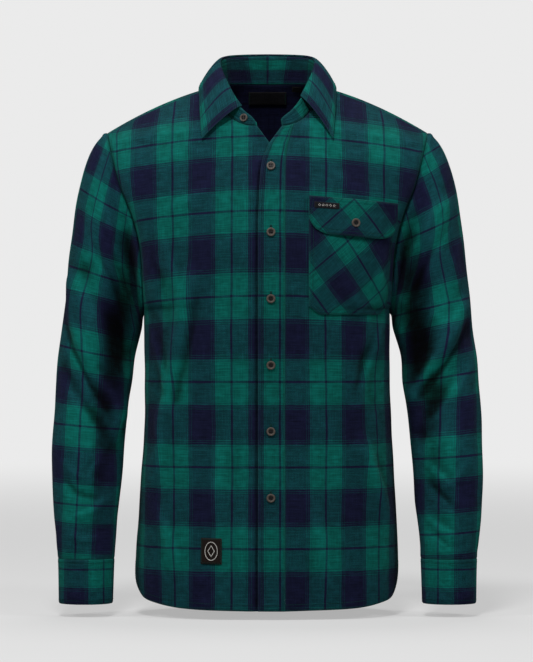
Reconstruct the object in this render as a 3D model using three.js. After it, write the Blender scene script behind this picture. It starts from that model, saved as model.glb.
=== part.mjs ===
// Long-sleeved flannel shirt, filled out as if worn, with nobody inside.
// Millimetres, +Z up. The front faces -Y and the wearer's left side is at +X.
// The origin is the middle of the neck opening, level with the tops of the shoulders.
import * as THREE from 'three';

// Cloth and seams
const CLOTH = 1.5;
const DOUBLED = 2.2;
const SEAM_GAP = 0.3;
const LAYER_GAP = 0.4;
const LIFT = 0.75;

// Body lengths and joins
const HEM_Z = -711;
const UNDERARM_Z = -300;
const SIDE_Y = -2;
const YOKE_Z = -88;
const NECK_Z = -50;
const SLEEVE_TUBE_Z = -330;
const CUFF_TOP_Z = -643;
const CUFF_BOTTOM_Z = -705;

// Button placket, from the wearer's left over the right
const FLAT_X = -24;
const UNDER_X = -14.5;
const UNDER_MIDDLE_X = -3;
const PLACKET_LIFT = 1.5;
const UNDER_PUSH = 1.1;
const BUTTON_X = 4.6;
const FIRST_BUTTON_Z = -107;
const BUTTON_PITCH = 90.1;
const FRONT_BUTTONS = 6;
const BUTTON_SIZE = 11.8;
const BUTTON_THICK = 2.4;

// Shares of the half neckline, from its front end to the centre back
const PLACKET_NECK_START = 0.025;
const PLACKET_NECK_END = 0.1;
const SHOULDER_NECK = 0.56;
const LEAF_START_LEFT = 0.27;
const LEAF_START_RIGHT = 0.18;

// Chest pocket, in cloth lengths from the centre front and heights on it
const POCKET_FROM = 56;
const POCKET_WIDE = 126;
const POCKET_TOP = -150;
const POCKET_BOTTOM = -309;
const POCKET_CUT_WIDE = 16;
const POCKET_CUT_HIGH = 12;
const FLAP_TOP = -146;
const FLAP_HIGH = 50;
const FLAP_CORNER_WIDE = 30;
const FLAP_CORNER_HIGH = 24;

// Torso sections below the armholes: half width, front and back reach, and roundness
const TORSO = [
  { z: -712, wide: 180.5, front: 118, back: 112, round: 2.25 },
  { z: -650, wide: 182.3, front: 117.5, back: 112, round: 2.25 },
  { z: -600, wide: 180.2, front: 116, back: 109.5, round: 2.25 },
  { z: -540, wide: 176.5, front: 114, back: 103, round: 2.3 },
  { z: -470, wide: 172, front: 113, back: 95, round: 2.3 },
  { z: -400, wide: 170.4, front: 115, back: 92, round: 2.3 },
  { z: -330, wide: 170.5, front: 119, back: 100, round: 2.4 },
  { z: -300, wide: 170.5, front: 120.5, back: 104.5, round: 2.4 },
];

// The hem rises toward the side seams, by share of the way round from the centre
const HEM_RISE = [
  { share: 0, up: 0 },
  { share: 0.4, up: 3 },
  { share: 0.6, up: 8 },
  { share: 0.75, up: 14 },
  { share: 0.85, up: 25 },
  { share: 0.93, up: 38 },
  { share: 1, up: 54 },
];

// Rows of the front above the underarm: reach on the centre line, roundness,
// angle down the armhole from its top, and how far the row bows upward
const FRONT_ROWS = [
  { t: -300, reach: 120.5, round: 2.4, angle: 180, bow: 0 },
  { t: -288, reach: 121, round: 2.4, angle: 163, bow: 0 },
  { t: -268, reach: 121.8, round: 2.35, angle: 146, bow: 0 },
  { t: -240, reach: 122.5, round: 2.3, angle: 128, bow: 0 },
  { t: -200, reach: 122, round: 2.25, angle: 107, bow: 0 },
  { t: -150, reach: 115, round: 2.15, angle: 83, bow: 0 },
  { t: -107, reach: 103, round: 2, angle: 65, bow: 0 },
  { t: -70, reach: 89, round: 1.85, angle: 44, bow: 1 },
  { t: -50, reach: 80, round: 1.7, angle: 33, bow: 2 },
  { t: -17, reach: 80, round: 1.25, angle: 16, bow: 5 },
  { t: 0, reach: 80, round: 1, angle: 8, bow: 6 },
];
const BACK_ROWS = [
  { t: -300, reach: 104.5, round: 2.4, angle: 180 },
  { t: -288, reach: 105.5, round: 2.4, angle: 163 },
  { t: -268, reach: 107.5, round: 2.35, angle: 146 },
  { t: -240, reach: 110, round: 2.3, angle: 128 },
  { t: -200, reach: 112, round: 2.25, angle: 107 },
  { t: -150, reach: 110, round: 2.1, angle: 84 },
  { t: -88, reach: 98, round: 1.9, angle: 60 },
];
const FRONT_UPPER = [-290, -275, -253, -228, -200, -168, -137, -105, -75, -50, -37, -25, -12, 0];
const BACK_UPPER = [-290, -275, -253, -225, -195, -160, -125, -88];
const YOKE_ANGLES = [0, 15, 30, 45];
const LOWER_STEPS = 12;
const FRONT_COLUMNS = 11;
const BACK_HALF_COLUMNS = 8;

// Armhole: an oval in the side view, and its half width by height
const ARMHOLE = { y: -2, z: -178, deep: 53, high: 122 };
const ARMHOLE_WIDE = [
  { z: -300, x: 170.5 },
  { z: -279, x: 171.5 },
  { z: -228, x: 174 },
  { z: -198, x: 179 },
  { z: -165, x: 189 },
  { z: -131, x: 203 },
  { z: -79, x: 217 },
  { z: -56, x: 222 },
];

// Half neckline from its front end, round the side of the neck, to the centre back
const NECKLINE = [
  { x: 14.3, y: -80, z: -50.5 },
  { x: 30, y: -77, z: -49 },
  { x: 48, y: -66, z: -40 },
  { x: 62, y: -44, z: -22 },
  { x: 69, y: -20, z: -4 },
  { x: 70, y: 4, z: 9 },
  { x: 61, y: 32, z: 14 },
  { x: 35, y: 50, z: 16 },
  { x: 0, y: 56, z: 16 },
];

// Top edge of the collar stand, where the leaf turns over, by share of the half neckline
const FOLD = [
  { share: 0, x: 15, y: -79.5, z: -46 },
  { share: 0.05, x: 21.5, y: -77.5, z: -38 },
  { share: 0.11, x: 30, y: -73.5, z: -31 },
  { share: 0.18, x: 37, y: -69, z: -24 },
  { share: 0.27, x: 47, y: -58, z: -10 },
  { share: 0.38, x: 56.5, y: -42, z: 9 },
  { share: 0.5, x: 64, y: -20, z: 27 },
  { share: 0.62, x: 66.5, y: 6, z: 43 },
  { share: 0.76, x: 57, y: 34, z: 51 },
  { share: 0.88, x: 33, y: 52, z: 54.5 },
  { share: 1, x: 0, y: 57, z: 55.5 },
];

// Outer edge of the collar leaf, from its point to the centre back
const LEAF_EDGE = [
  { share: 0.18, x: 90, y: -87, z: -68 },
  { share: 0.28, x: 92, y: -75, z: -50 },
  { share: 0.38, x: 93.5, y: -59, z: -32 },
  { share: 0.48, x: 95, y: -36, z: -11 },
  { share: 0.6, x: 95.5, y: 2, z: 9 },
  { share: 0.74, x: 80, y: 46, z: 10 },
  { share: 0.87, x: 45, y: 71, z: 6 },
  { share: 1, x: 0, y: 76, z: 4 },
];

// Yoke surface: how far it stands proud of straight lines from neckline to outer edge
const YOKE_PROUD = [
  { share: 0, y: 0, z: 6 },
  { share: 0.2, y: 5, z: 9 },
  { share: 0.4, y: 12, z: 6 },
  { share: 0.6, y: 8, z: 5 },
  { share: 1, y: 4, z: 1.5 },
];

// Placket edges above the first button, where the neck falls open
const OPEN_NECK = [
  { z: -185, free: -13, right: 19, seam: 23.5, back: 0 },
  { z: -133, free: -11, right: 19, seam: 23.5, back: 0 },
  { z: -114, free: -9.7, right: 18, seam: 23.8, back: 0.2 },
  { z: -103, free: -8.2, right: 16, seam: 24.3, back: 0.5 },
  { z: -93, free: -5.8, right: 12.5, seam: 25.3, back: 1 },
  { z: -82, free: -1.1, right: 7.5, seam: 26.8, back: 1.6 },
  { z: -71, free: 2.9, right: 1, seam: 28.6, back: 2.3 },
  { z: -62, free: 6.7, right: -5, seam: 30.5, back: 3.2 },
  { z: -56, free: 11.7, right: -9.5, seam: 32, back: 4 },
  { z: -50, free: 19, right: -14.3, seam: 33.5, back: 5 },
];

// Where each sleeve column leaves the armhole: outward, forward or back, and down
const SLEEVE_START = [
  { angle: 0, out: 150, side: 0, down: 66 },
  { angle: 45, out: 120, side: 40, down: 60 },
  { angle: 90, out: 95, side: 35, down: 60 },
  { angle: 135, out: 28, side: 22, down: 50 },
  { angle: 180, out: 8, side: 0, down: 32 },
];
const SLEEVE_CAP_STEPS = 7;
const SLEEVE_TUBE_STEPS = 10;
const SLEEVE_ROUND = 2.1;

// Sleeve and cuff sections: middle and half width from the centre plane, middle and half depth
const SLEEVE = [
  { z: -705, middle: 250, half: 37.3, y: -45, deep: 36 },
  { z: -643, middle: 249.5, half: 39, y: -45, deep: 37.5 },
  { z: -618, middle: 250, half: 41.2, y: -44, deep: 39.5 },
  { z: -590, middle: 250.5, half: 43.8, y: -41, deep: 42 },
  { z: -563, middle: 249.5, half: 46, y: -38, deep: 45 },
  { z: -508, middle: 248.5, half: 49, y: -31, deep: 50 },
  { z: -467, middle: 246, half: 50.5, y: -24, deep: 54 },
  { z: -430, middle: 243.5, half: 51.2, y: -17, deep: 57.5 },
  { z: -400, middle: 240, half: 52.5, y: -11, deep: 60 },
  { z: -365, middle: 237.5, half: 53, y: -5, deep: 62 },
  { z: -330, middle: 230.5, half: 55.5, y: 0, deep: 64 },
];

// Largest folds, each along a line in the front view. Face -1 is the front and 1 the back.
const TORSO_FOLDS = [
  { x0: -105, z0: -262, x1: -158, z1: -520, wide: 20, high: 4, face: -1 },
  { x0: -164, z0: -320, x1: -136, z1: -415, wide: 16, high: -4, face: -1 },
  { x0: 136, z0: -372, x1: 150, z1: -425, wide: 18, high: -4, face: -1 },
  { x0: 132, z0: -492, x1: 172, z1: -595, wide: 18, high: 4, face: -1 },
  { x0: 60, z0: -240, x1: 130, z1: -430, wide: 24, high: -5, face: 1 },
  { x0: -50, z0: -300, x1: -125, z1: -470, wide: 24, high: -5, face: 1 },
];
const LEFT_SLEEVE_FOLDS = [
  { x0: 268, z0: -300, x1: 205, z1: -418, wide: 15, high: 6, face: -1 },
  { x0: 283, z0: -330, x1: 212, z1: -470, wide: 14, high: -5, face: -1 },
  { x0: 246, z0: -160, x1: 190, z1: -285, wide: 16, high: 5, face: -1 },
  { x0: 268, z0: -350, x1: 212, z1: -410, wide: 18, high: -6, face: 1 },
];
const RIGHT_SLEEVE_FOLDS = [
  { x0: -270, z0: -262, x1: -196, z1: -448, wide: 15, high: 6, face: -1 },
  { x0: -250, z0: -250, x1: -196, z1: -360, wide: 16, high: -5, face: -1 },
  { x0: -280, z0: -380, x1: -214, z1: -490, wide: 14, high: -5, face: -1 },
  { x0: -268, z0: -380, x1: -212, z1: -440, wide: 18, high: -6, face: 1 },
];

const FLANNEL_GREEN = { color: 0x14584f, roughness: 0.95, metalness: 0 };
const FLANNEL_NAVY = { color: 0x1d2142, roughness: 0.95, metalness: 0 };
const BUTTON_BROWN = { color: 0x4a4440, roughness: 0.45, metalness: 0 };
const LABEL_BLACK = { color: 0x17171a, roughness: 0.8, metalness: 0 };
const PATCH_BROWN = { color: 0x241f1e, roughness: 0.75, metalness: 0 };

const { clamp, degToRad, lerp, smoothstep } = THREE.MathUtils;
const point = (x, y, z) => new THREE.Vector3(x, y, z);
const group = new THREE.Group();

// Slope of a table column at one of its rows, from the rows beside it
function slopeAt(table, key, name, i) {
  const before = table[Math.max(i - 1, 0)];
  const after = table[Math.min(i + 1, table.length - 1)];
  return (after[name] - before[name]) / (after[key] - before[key]);
}

// Smooth value of a table column, the table rising by its key
function valueAt(table, key, name, at) {
  const last = table.length - 1;
  const place = clamp(at, table[0][key], table[last][key]);
  let i = 0;
  while (i < last - 1 && table[i + 1][key] < place) i += 1;
  const span = table[i + 1][key] - table[i][key];
  const share = (place - table[i][key]) / span;
  const straight = lerp(table[i][name], table[i + 1][name], share);
  const rise = (table[i + 1][name] - table[i][name]) / span;
  const early = (slopeAt(table, key, name, i) - rise) * span * share * (1 - share) ** 2;
  const late = (slopeAt(table, key, name, i + 1) - rise) * span * share ** 2 * (1 - share);
  return straight + early - late;
}

function pointAt(table, key, at) {
  return point(
    valueAt(table, key, 'x', at),
    valueAt(table, key, 'y', at),
    valueAt(table, key, 'z', at),
  );
}

// Points at given shares of the length of a line
function alongLine(line, shares) {
  const reached = [0];
  for (let i = 1; i < line.length; i += 1) {
    reached.push(reached[i - 1] + line[i].distanceTo(line[i - 1]));
  }
  const total = reached[line.length - 1];
  return shares.map((share) => {
    const goal = clamp(share, 0, 1) * total;
    let i = 0;
    while (i < line.length - 2 && reached[i + 1] < goal) i += 1;
    const part = (goal - reached[i]) / (reached[i + 1] - reached[i]);
    return line[i].clone().lerp(line[i + 1], clamp(part, 0, 1));
  });
}

function lengthOf(line) {
  let total = 0;
  for (let i = 1; i < line.length; i += 1) total += line[i].distanceTo(line[i - 1]);
  return total;
}

function evenShares(count) {
  return Array.from({ length: count + 1 }, (_, i) => i / count);
}

const neckCurve = new THREE.CatmullRomCurve3(
  NECKLINE.map((row) => point(row.x, row.y, row.z)),
  false,
  'centripetal',
);

function neckAt(side, share) {
  const found = neckCurve.getPointAt(clamp(share, 0, 1));
  return point(side * found.x, found.y, found.z);
}

// A point of the armhole seam, by degrees from its top: front below zero, back above
function armholeAt(side, angle) {
  const turn = degToRad(angle);
  const z = ARMHOLE.z + ARMHOLE.high * Math.cos(turn);
  const x = valueAt(ARMHOLE_WIDE, 'z', 'x', z);
  return point(side * x, ARMHOLE.y + ARMHOLE.deep * Math.sin(turn), z);
}

// Quarter of a superellipse in plan, from the centre to the side, its height running evenly
function quarter(start, end, round, bow) {
  const count = 40;
  const line = [];
  for (let i = 0; i <= count; i += 1) {
    const turn = ((i / count) * Math.PI) / 2;
    const across = Math.sin(turn) ** (2 / round);
    const ahead = Math.cos(turn) ** (2 / round);
    line.push(point(lerp(start.x, end.x, across), lerp(end.y, start.y, ahead), start.z));
  }
  const total = lengthOf(line);
  let reached = 0;
  const flat = line.map((spot) => spot.clone());
  for (let i = 1; i <= count; i += 1) {
    reached += flat[i].distanceTo(flat[i - 1]);
    const share = reached / total;
    line[i].z = lerp(start.z, end.z, share) + bow * 4 * share * (1 - share);
  }
  return line;
}

function hemRise(share, t) {
  const down = clamp((UNDERARM_Z - t) / (UNDERARM_Z - HEM_Z), 0, 1);
  return valueAt(HEM_RISE, 'share', 'up', share) * down;
}

// A lower torso row: its section is taken at each point's own height
function lowerRow(side, startX, t, face) {
  const reachName = face < 0 ? 'front' : 'back';
  const count = 40;
  const line = [];
  for (let i = 0; i <= count; i += 1) {
    const turn = ((i / count) * Math.PI) / 2;
    const z = t + hemRise(i / count, t);
    const round = valueAt(TORSO, 'z', 'round', z);
    const wide = valueAt(TORSO, 'z', 'wide', z);
    const reach = valueAt(TORSO, 'z', reachName, z);
    const across = Math.sin(turn) ** (2 / round);
    const ahead = Math.cos(turn) ** (2 / round);
    line.push(point(side * lerp(startX, wide, across), lerp(SIDE_Y, face * reach, ahead), z));
  }
  return line;
}

// Where a front's row starts: on the placket seam, then along the neckline
function frontStart(side, t) {
  if (t >= NECK_Z) {
    const first = side > 0 ? PLACKET_NECK_END : 0;
    return neckAt(side, lerp(first, SHOULDER_NECK, (t - NECK_Z) / -NECK_Z));
  }
  const reach = valueAt(FRONT_ROWS, 't', 'reach', t);
  if (t < UNDERARM_Z) return point(side * valueAt(OPEN_NECK, 'z', 'seam', t), 0, t);
  const back = valueAt(OPEN_NECK, 'z', 'back', t);
  return point(side * valueAt(OPEN_NECK, 'z', 'seam', t), back - reach, t);
}

function frontRow(side, t) {
  const start = frontStart(side, t);
  if (t < UNDERARM_Z) return lowerRow(side, Math.abs(start.x), t, -1);
  const end = armholeAt(side, -valueAt(FRONT_ROWS, 't', 'angle', t));
  const round = valueAt(FRONT_ROWS, 't', 'round', t);
  return quarter(start, end, round, valueAt(FRONT_ROWS, 't', 'bow', t));
}

// A point of a front by its cloth length from the centre line
function frontPoint(side, t, length) {
  const line = frontRow(side, t);
  const share = (length - Math.abs(line[0].x)) / lengthOf(line);
  return alongLine(line, [share])[0];
}

function backRow(side, t) {
  if (t < UNDERARM_Z) return lowerRow(side, 0, t, 1);
  const start = point(0, valueAt(BACK_ROWS, 't', 'reach', t), t);
  const end = armholeAt(side, valueAt(BACK_ROWS, 't', 'angle', t));
  return quarter(start, end, valueAt(BACK_ROWS, 't', 'round', t), 0);
}

const lowerHeights = evenShares(LOWER_STEPS).map((share) => lerp(HEM_Z, UNDERARM_Z, share));
const frontHeights = [...lowerHeights, ...FRONT_UPPER];
const backHeights = [...lowerHeights, ...BACK_UPPER];

// Moves a point out or in where a large fold passes it
function folded(spot, folds, middle) {
  const out = point(spot.x - middle.x, spot.y - middle.y, 0).normalize();
  let move = 0;
  for (const fold of folds) {
    const line = new THREE.Line3(point(fold.x0, 0, fold.z0), point(fold.x1, 0, fold.z1));
    const near = line.closestPointToPoint(point(spot.x, 0, spot.z), true, point(0, 0, 0));
    const away = Math.hypot(near.x - spot.x, near.z - spot.z);
    const facing = smoothstep(fold.face * out.y, 0.05, 0.6);
    move += fold.high * Math.exp(-((away / fold.wide) ** 2)) * facing;
  }
  return spot.clone().addScaledVector(out, move);
}

// Open sheets of cloth, each a net of points with its faces turned outward
const sheets = [];

function addSheet(name, rows, thick, finish, { closed = false, flip = false } = {}) {
  const count = rows[0].length;
  const faces = [];
  for (let r = 0; r < rows.length - 1; r += 1) {
    for (let c = 0; c < (closed ? count : count - 1); c += 1) {
      const a = r * count + c;
      const b = r * count + ((c + 1) % count);
      const above = [b + count, a + count];
      faces.push(flip ? [a, above[0], b] : [a, b, above[0]]);
      faces.push(flip ? [a, above[1], above[0]] : [a, above[0], above[1]]);
    }
  }
  sheets.push({ name, points: rows.flat(), faces, thick, finish });
}

function faceNormal(sheet, [a, b, c]) {
  const { points } = sheet;
  return points[b].clone().sub(points[a]).cross(points[c].clone().sub(points[a]));
}

// Finds each sheet's normals, its edge, and the way into the cloth from each edge point
function study(sheet) {
  sheet.normals = sheet.points.map(() => point(0, 0, 0));
  const edges = new Map();
  for (const face of sheet.faces) {
    const normal = faceNormal(sheet, face);
    for (const corner of face) sheet.normals[corner].add(normal);
    for (let i = 0; i < 3; i += 1) {
      const [from, to] = [face[i], face[(i + 1) % 3]];
      if (!edges.delete(`${to},${from}`)) edges.set(`${from},${to}`, { from, to, normal });
    }
  }
  for (const normal of sheet.normals) normal.normalize();
  sheet.edges = [...edges.values()];
  sheet.inward = new Map();
  for (const { from, to, normal } of sheet.edges) {
    const along = sheet.points[to].clone().sub(sheet.points[from]);
    const into = normal.clone().cross(along).normalize();
    for (const end of [from, to]) {
      sheet.inward.set(end, [...(sheet.inward.get(end) ?? []), into]);
    }
  }
}

// Turns the rims of meeting sheets so that they lie side by side, half a seam gap apart each
function meetSeams() {
  const rims = sheets.flatMap((sheet) =>
    [...sheet.inward].map(([index, ways]) => ({
      sheet,
      index,
      spot: sheet.points[index].clone(),
      normal: sheet.normals[index].clone(),
      into: ways.reduce((sum, way) => sum.add(way), point(0, 0, 0)).normalize(),
      ways,
    })),
  );
  const touch = 0.05;
  for (const rim of rims) {
    const shift = rim.into.clone().multiplyScalar(
      SEAM_GAP / 2 / Math.max(rim.into.dot(rim.ways[0]), 0.4),
    );
    const shared = rim.normal.clone();
    for (const other of rims) {
      if (other.sheet === rim.sheet || other.spot.distanceTo(rim.spot) > touch) continue;
      const valley = (rim.into.dot(other.normal) + other.into.dot(rim.normal)) / 2 > 0.02;
      const apart = (1 - rim.normal.dot(other.normal)) / 2;
      if (valley) shift.addScaledVector(rim.normal, (-apart * SEAM_GAP) / 2);
      else shared.add(other.normal);
    }
    rim.sheet.normals[rim.index].copy(shared.normalize());
    rim.sheet.points[rim.index] = rim.spot.clone().add(shift);
  }
}

function addMesh(name, geometry, finish) {
  const mesh = new THREE.Mesh(geometry, new THREE.MeshStandardMaterial(finish));
  mesh.name = name;
  group.add(mesh);
  return mesh;
}

// Gives a sheet its thickness, inward from its outer points, and closes its edges
function thicken({ name, points, normals, faces, edges, thick, finish }) {
  const count = points.length;
  const inner = points.map((spot, i) => spot.clone().addScaledVector(normals[i], -thick));
  const all = [...faces];
  for (const [a, b, c] of faces) all.push([a + count, c + count, b + count]);
  for (const { from, to } of edges) {
    all.push([to, from, from + count], [to, from + count, to + count]);
  }
  const geometry = new THREE.BufferGeometry().setFromPoints([...points, ...inner]);
  geometry.setIndex(all.flat());
  addMesh(name, geometry, finish);
}

// Fronts. The wearer's right front runs on under the placket, pushed in by the layers above it.
const leftFrontRows = frontHeights.map((t) =>
  alongLine(frontRow(1, t), evenShares(FRONT_COLUMNS)).map((spot) =>
    folded(spot, TORSO_FOLDS, point(0, 0, 0)),
  ),
);

function rightFrontRow(t) {
  if (t >= NECK_Z) return alongLine(frontRow(-1, t), evenShares(FRONT_COLUMNS));
  const open = smoothstep(t, -110, NECK_Z);
  const edge = valueAt(OPEN_NECK, 'z', 'right', t);
  const arc = frontRow(-1, t);
  const start = arc[0];
  const flat = [];
  for (const x of [edge, lerp(UNDER_MIDDLE_X, edge, open), UNDER_X, FLAT_X]) {
    if (x > start.x) flat.push(point(x, start.y, start.z));
  }
  const line = [...flat, ...arc];
  const total = lengthOf(line);
  const stops = [edge, UNDER_MIDDLE_X, UNDER_X, FLAT_X].map((x) => (edge - x) / total);
  const rest = FRONT_COLUMNS - stops.length + 1;
  for (let i = 1; i <= rest; i += 1) stops.push(lerp(stops[3], 1, i / rest));
  const even = evenShares(FRONT_COLUMNS);
  const row = alongLine(line, stops.map((stop, i) => lerp(stop, even[i], open)));
  const push = UNDER_PUSH * (1 - smoothstep(t, -62, -52));
  for (let i = 0; i < 3; i += 1) row[i].y += push;
  return row;
}
const rightFrontRows = frontHeights.map((t) =>
  rightFrontRow(t).map((spot) => folded(spot, TORSO_FOLDS, point(0, 0, 0))),
);
addSheet('front_left', leftFrontRows, CLOTH, FLANNEL_GREEN);
addSheet('front_right', rightFrontRows, CLOTH, FLANNEL_GREEN, { flip: true });

// Back, in one piece from side seam to side seam
const backRows = backHeights.map((t) => {
  const left = alongLine(backRow(1, t), evenShares(BACK_HALF_COLUMNS));
  const right = alongLine(backRow(-1, t), evenShares(BACK_HALF_COLUMNS));
  const row = [...left.reverse(), ...right.slice(1)];
  return row.map((spot) => folded(spot, TORSO_FOLDS, point(0, 0, 0)));
});
addSheet('back', backRows, CLOTH, FLANNEL_NAVY);

// Yoke: lines from its outer edge in to the neckline, set side by side round the neck
const yokeSteps = 1 + YOKE_ANGLES.length + BACK_HALF_COLUMNS;

function yokeOuter(side, step) {
  const seamAngle = -valueAt(FRONT_ROWS, 't', 'angle', 0);
  const angles = [seamAngle, ...YOKE_ANGLES];
  if (step < angles.length) return armholeAt(side, angles[step]);
  const share = 1 - (step - angles.length) / BACK_HALF_COLUMNS;
  return alongLine(backRow(side, YOKE_Z), [share])[0];
}

function yokeLine(side, step) {
  const inner = neckAt(side, lerp(SHOULDER_NECK, 1, step / yokeSteps));
  const outer = yokeOuter(side, step);
  const proud = step / yokeSteps;
  const proudY = valueAt(YOKE_PROUD, 'share', 'y', proud);
  const proudZ = valueAt(YOKE_PROUD, 'share', 'z', proud);
  if (step === 0) return alongLine(frontRow(side, 0), evenShares(FRONT_COLUMNS)).reverse();
  return evenShares(FRONT_COLUMNS).map((share) => {
    const bulge = 4 * share * (1 - share);
    return outer.clone().lerp(inner, share).add(point(0, proudY * bulge, proudZ * bulge));
  });
}
const yokeLines = [];
for (let step = 0; step <= yokeSteps; step += 1) yokeLines.push(yokeLine(1, step));
for (let step = yokeSteps - 1; step >= 0; step -= 1) yokeLines.push(yokeLine(-1, step));
const yokeRows = evenShares(FRONT_COLUMNS).map((_, r) => yokeLines.map((line) => line[r]));
addSheet('yoke', yokeRows, CLOTH, FLANNEL_NAVY);

// Sleeves: round the armhole in step with the panels, over the cap, then down the tube
const backAngles = BACK_UPPER.map((t) => valueAt(BACK_ROWS, 't', 'angle', t)).reverse();
const frontAngles = FRONT_UPPER.map((t) => -valueAt(FRONT_ROWS, 't', 'angle', t));
const seamAngles = [...YOKE_ANGLES, ...backAngles, 180, ...frontAngles];

function tubePoint(side, angle, z) {
  const turn = degToRad(angle);
  const across = Math.sign(Math.cos(turn)) * Math.abs(Math.cos(turn)) ** (2 / SLEEVE_ROUND);
  const along = Math.sign(Math.sin(turn)) * Math.abs(Math.sin(turn)) ** (2 / SLEEVE_ROUND);
  const middle = valueAt(SLEEVE, 'z', 'middle', z);
  const half = valueAt(SLEEVE, 'z', 'half', z);
  const y = valueAt(SLEEVE, 'z', 'y', z);
  const deep = valueAt(SLEEVE, 'z', 'deep', z);
  return point(side * (middle + half * across), y + deep * along, z);
}

function capPoint(side, angle, share) {
  const start = armholeAt(side, angle);
  const end = tubePoint(side, angle, SLEEVE_TUBE_Z);
  const around = Math.abs(angle);
  const face = Math.sign(angle);
  const leave = point(
    side * valueAt(SLEEVE_START, 'angle', 'out', around),
    face * valueAt(SLEEVE_START, 'angle', 'side', around),
    -valueAt(SLEEVE_START, 'angle', 'down', around),
  );
  const below = tubePoint(side, angle, SLEEVE_TUBE_Z - 10);
  const arrive = below.sub(end).multiplyScalar((0.92 * (start.z - end.z)) / 10);
  const s = share;
  return start
    .multiplyScalar(2 * s ** 3 - 3 * s ** 2 + 1)
    .addScaledVector(leave, s ** 3 - 2 * s ** 2 + s)
    .addScaledVector(end, 3 * s ** 2 - 2 * s ** 3)
    .addScaledVector(arrive, s ** 3 - s ** 2);
}

function sleeveMiddle(side, z) {
  const at = Math.min(z, SLEEVE_TUBE_Z);
  return point(side * valueAt(SLEEVE, 'z', 'middle', at), valueAt(SLEEVE, 'z', 'y', at), 0);
}

function buildSleeve(name, cuffName, side, folds) {
  const rows = [];
  for (let step = 0; step < SLEEVE_TUBE_STEPS; step += 1) {
    const z = lerp(CUFF_TOP_Z, SLEEVE_TUBE_Z, step / SLEEVE_TUBE_STEPS);
    rows.push(seamAngles.map((angle) => tubePoint(side, angle, z)));
  }
  for (let step = SLEEVE_CAP_STEPS; step >= 0; step -= 1) {
    rows.push(seamAngles.map((angle) => capPoint(side, angle, step / SLEEVE_CAP_STEPS)));
  }
  const top = rows.length - 1;
  const shaped = rows.map((row, r) => {
    if (r === 0 || r === top) return row;
    return row.map((spot) => folded(spot, folds, sleeveMiddle(side, spot.z)));
  });
  const flip = side < 0;
  addSheet(name, shaped, CLOTH, FLANNEL_GREEN, { closed: true, flip });
  const cuffSteps = 3;
  const cuffRows = evenShares(cuffSteps).map((share) => {
    const z = lerp(CUFF_BOTTOM_Z, CUFF_TOP_Z, share);
    return seamAngles.map((angle) => tubePoint(side, angle, z));
  });
  addSheet(cuffName, cuffRows, DOUBLED, FLANNEL_NAVY, { closed: true, flip });
}
buildSleeve('sleeve_left', 'cuff_left', 1, LEFT_SLEEVE_FOLDS);
buildSleeve('sleeve_right', 'cuff_right', -1, RIGHT_SLEEVE_FOLDS);

// Placket: a doubled strip on the wearer's left edge, over the right front
const placketShares = [0, 0.5, 1];

function placketRow(t) {
  if (t >= NECK_Z) {
    return placketShares.map((share) =>
      neckAt(1, lerp(PLACKET_NECK_START, PLACKET_NECK_END, share)).add(
        point(0, -PLACKET_LIFT, 0),
      ),
    );
  }
  const free = valueAt(OPEN_NECK, 'z', 'free', t);
  const seam = valueAt(OPEN_NECK, 'z', 'seam', t);
  const table = t < UNDERARM_Z ? TORSO : FRONT_ROWS;
  const key = t < UNDERARM_Z ? 'z' : 't';
  const reach = valueAt(table, key, t < UNDERARM_Z ? 'front' : 'reach', t);
  const back = valueAt(OPEN_NECK, 'z', 'back', t);
  return placketShares.map((share) =>
    point(lerp(free, seam, share), back * share ** 2 - reach - PLACKET_LIFT, t),
  );
}
const placketHeights = frontHeights.filter((t) => t <= NECK_Z);
addSheet('placket', placketHeights.map(placketRow), DOUBLED, FLANNEL_NAVY);

// Collar stand, standing on the neckline all the way round
const neckUpper = FRONT_UPPER.filter((t) => t >= NECK_Z);
const neckShares = (first) => neckUpper.map((t) => lerp(first, SHOULDER_NECK, (t - NECK_Z) / -NECK_Z));
const yokeShares = [];
for (let step = 1; step <= yokeSteps; step += 1) {
  yokeShares.push(lerp(SHOULDER_NECK, 1, step / yokeSteps));
}
const placketMiddle = lerp(PLACKET_NECK_START, PLACKET_NECK_END, 0.5);
const leftShares = [PLACKET_NECK_START, placketMiddle, ...neckShares(PLACKET_NECK_END), ...yokeShares];
const rightShares = [...neckShares(0), ...yokeShares];
const collarStops = [
  ...leftShares.map((share) => ({ side: 1, share })),
  ...rightShares.slice(0, -1).reverse().map((share) => ({ side: -1, share })),
];

function foldAt(side, share) {
  const spot = pointAt(FOLD, 'share', share);
  spot.x *= side;
  return spot;
}
const standSteps = 3;
const standRows = evenShares(standSteps).map((up) =>
  collarStops.map(({ side, share }) => neckAt(side, share).lerp(foldAt(side, share), up)),
);
addSheet('collar_stand', standRows, DOUBLED, FLANNEL_NAVY);

// Collar leaf: up off the stand, over a small roll, and down to its outer edge
const LEAF_STEPS = [0, 0.1, 0.22, 0.36, 0.55, 0.77, 1];
const ROLL_GAP = 0.95;
const ROLL_HIGH = 9;
const ROLL_OUT = 8;

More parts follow.
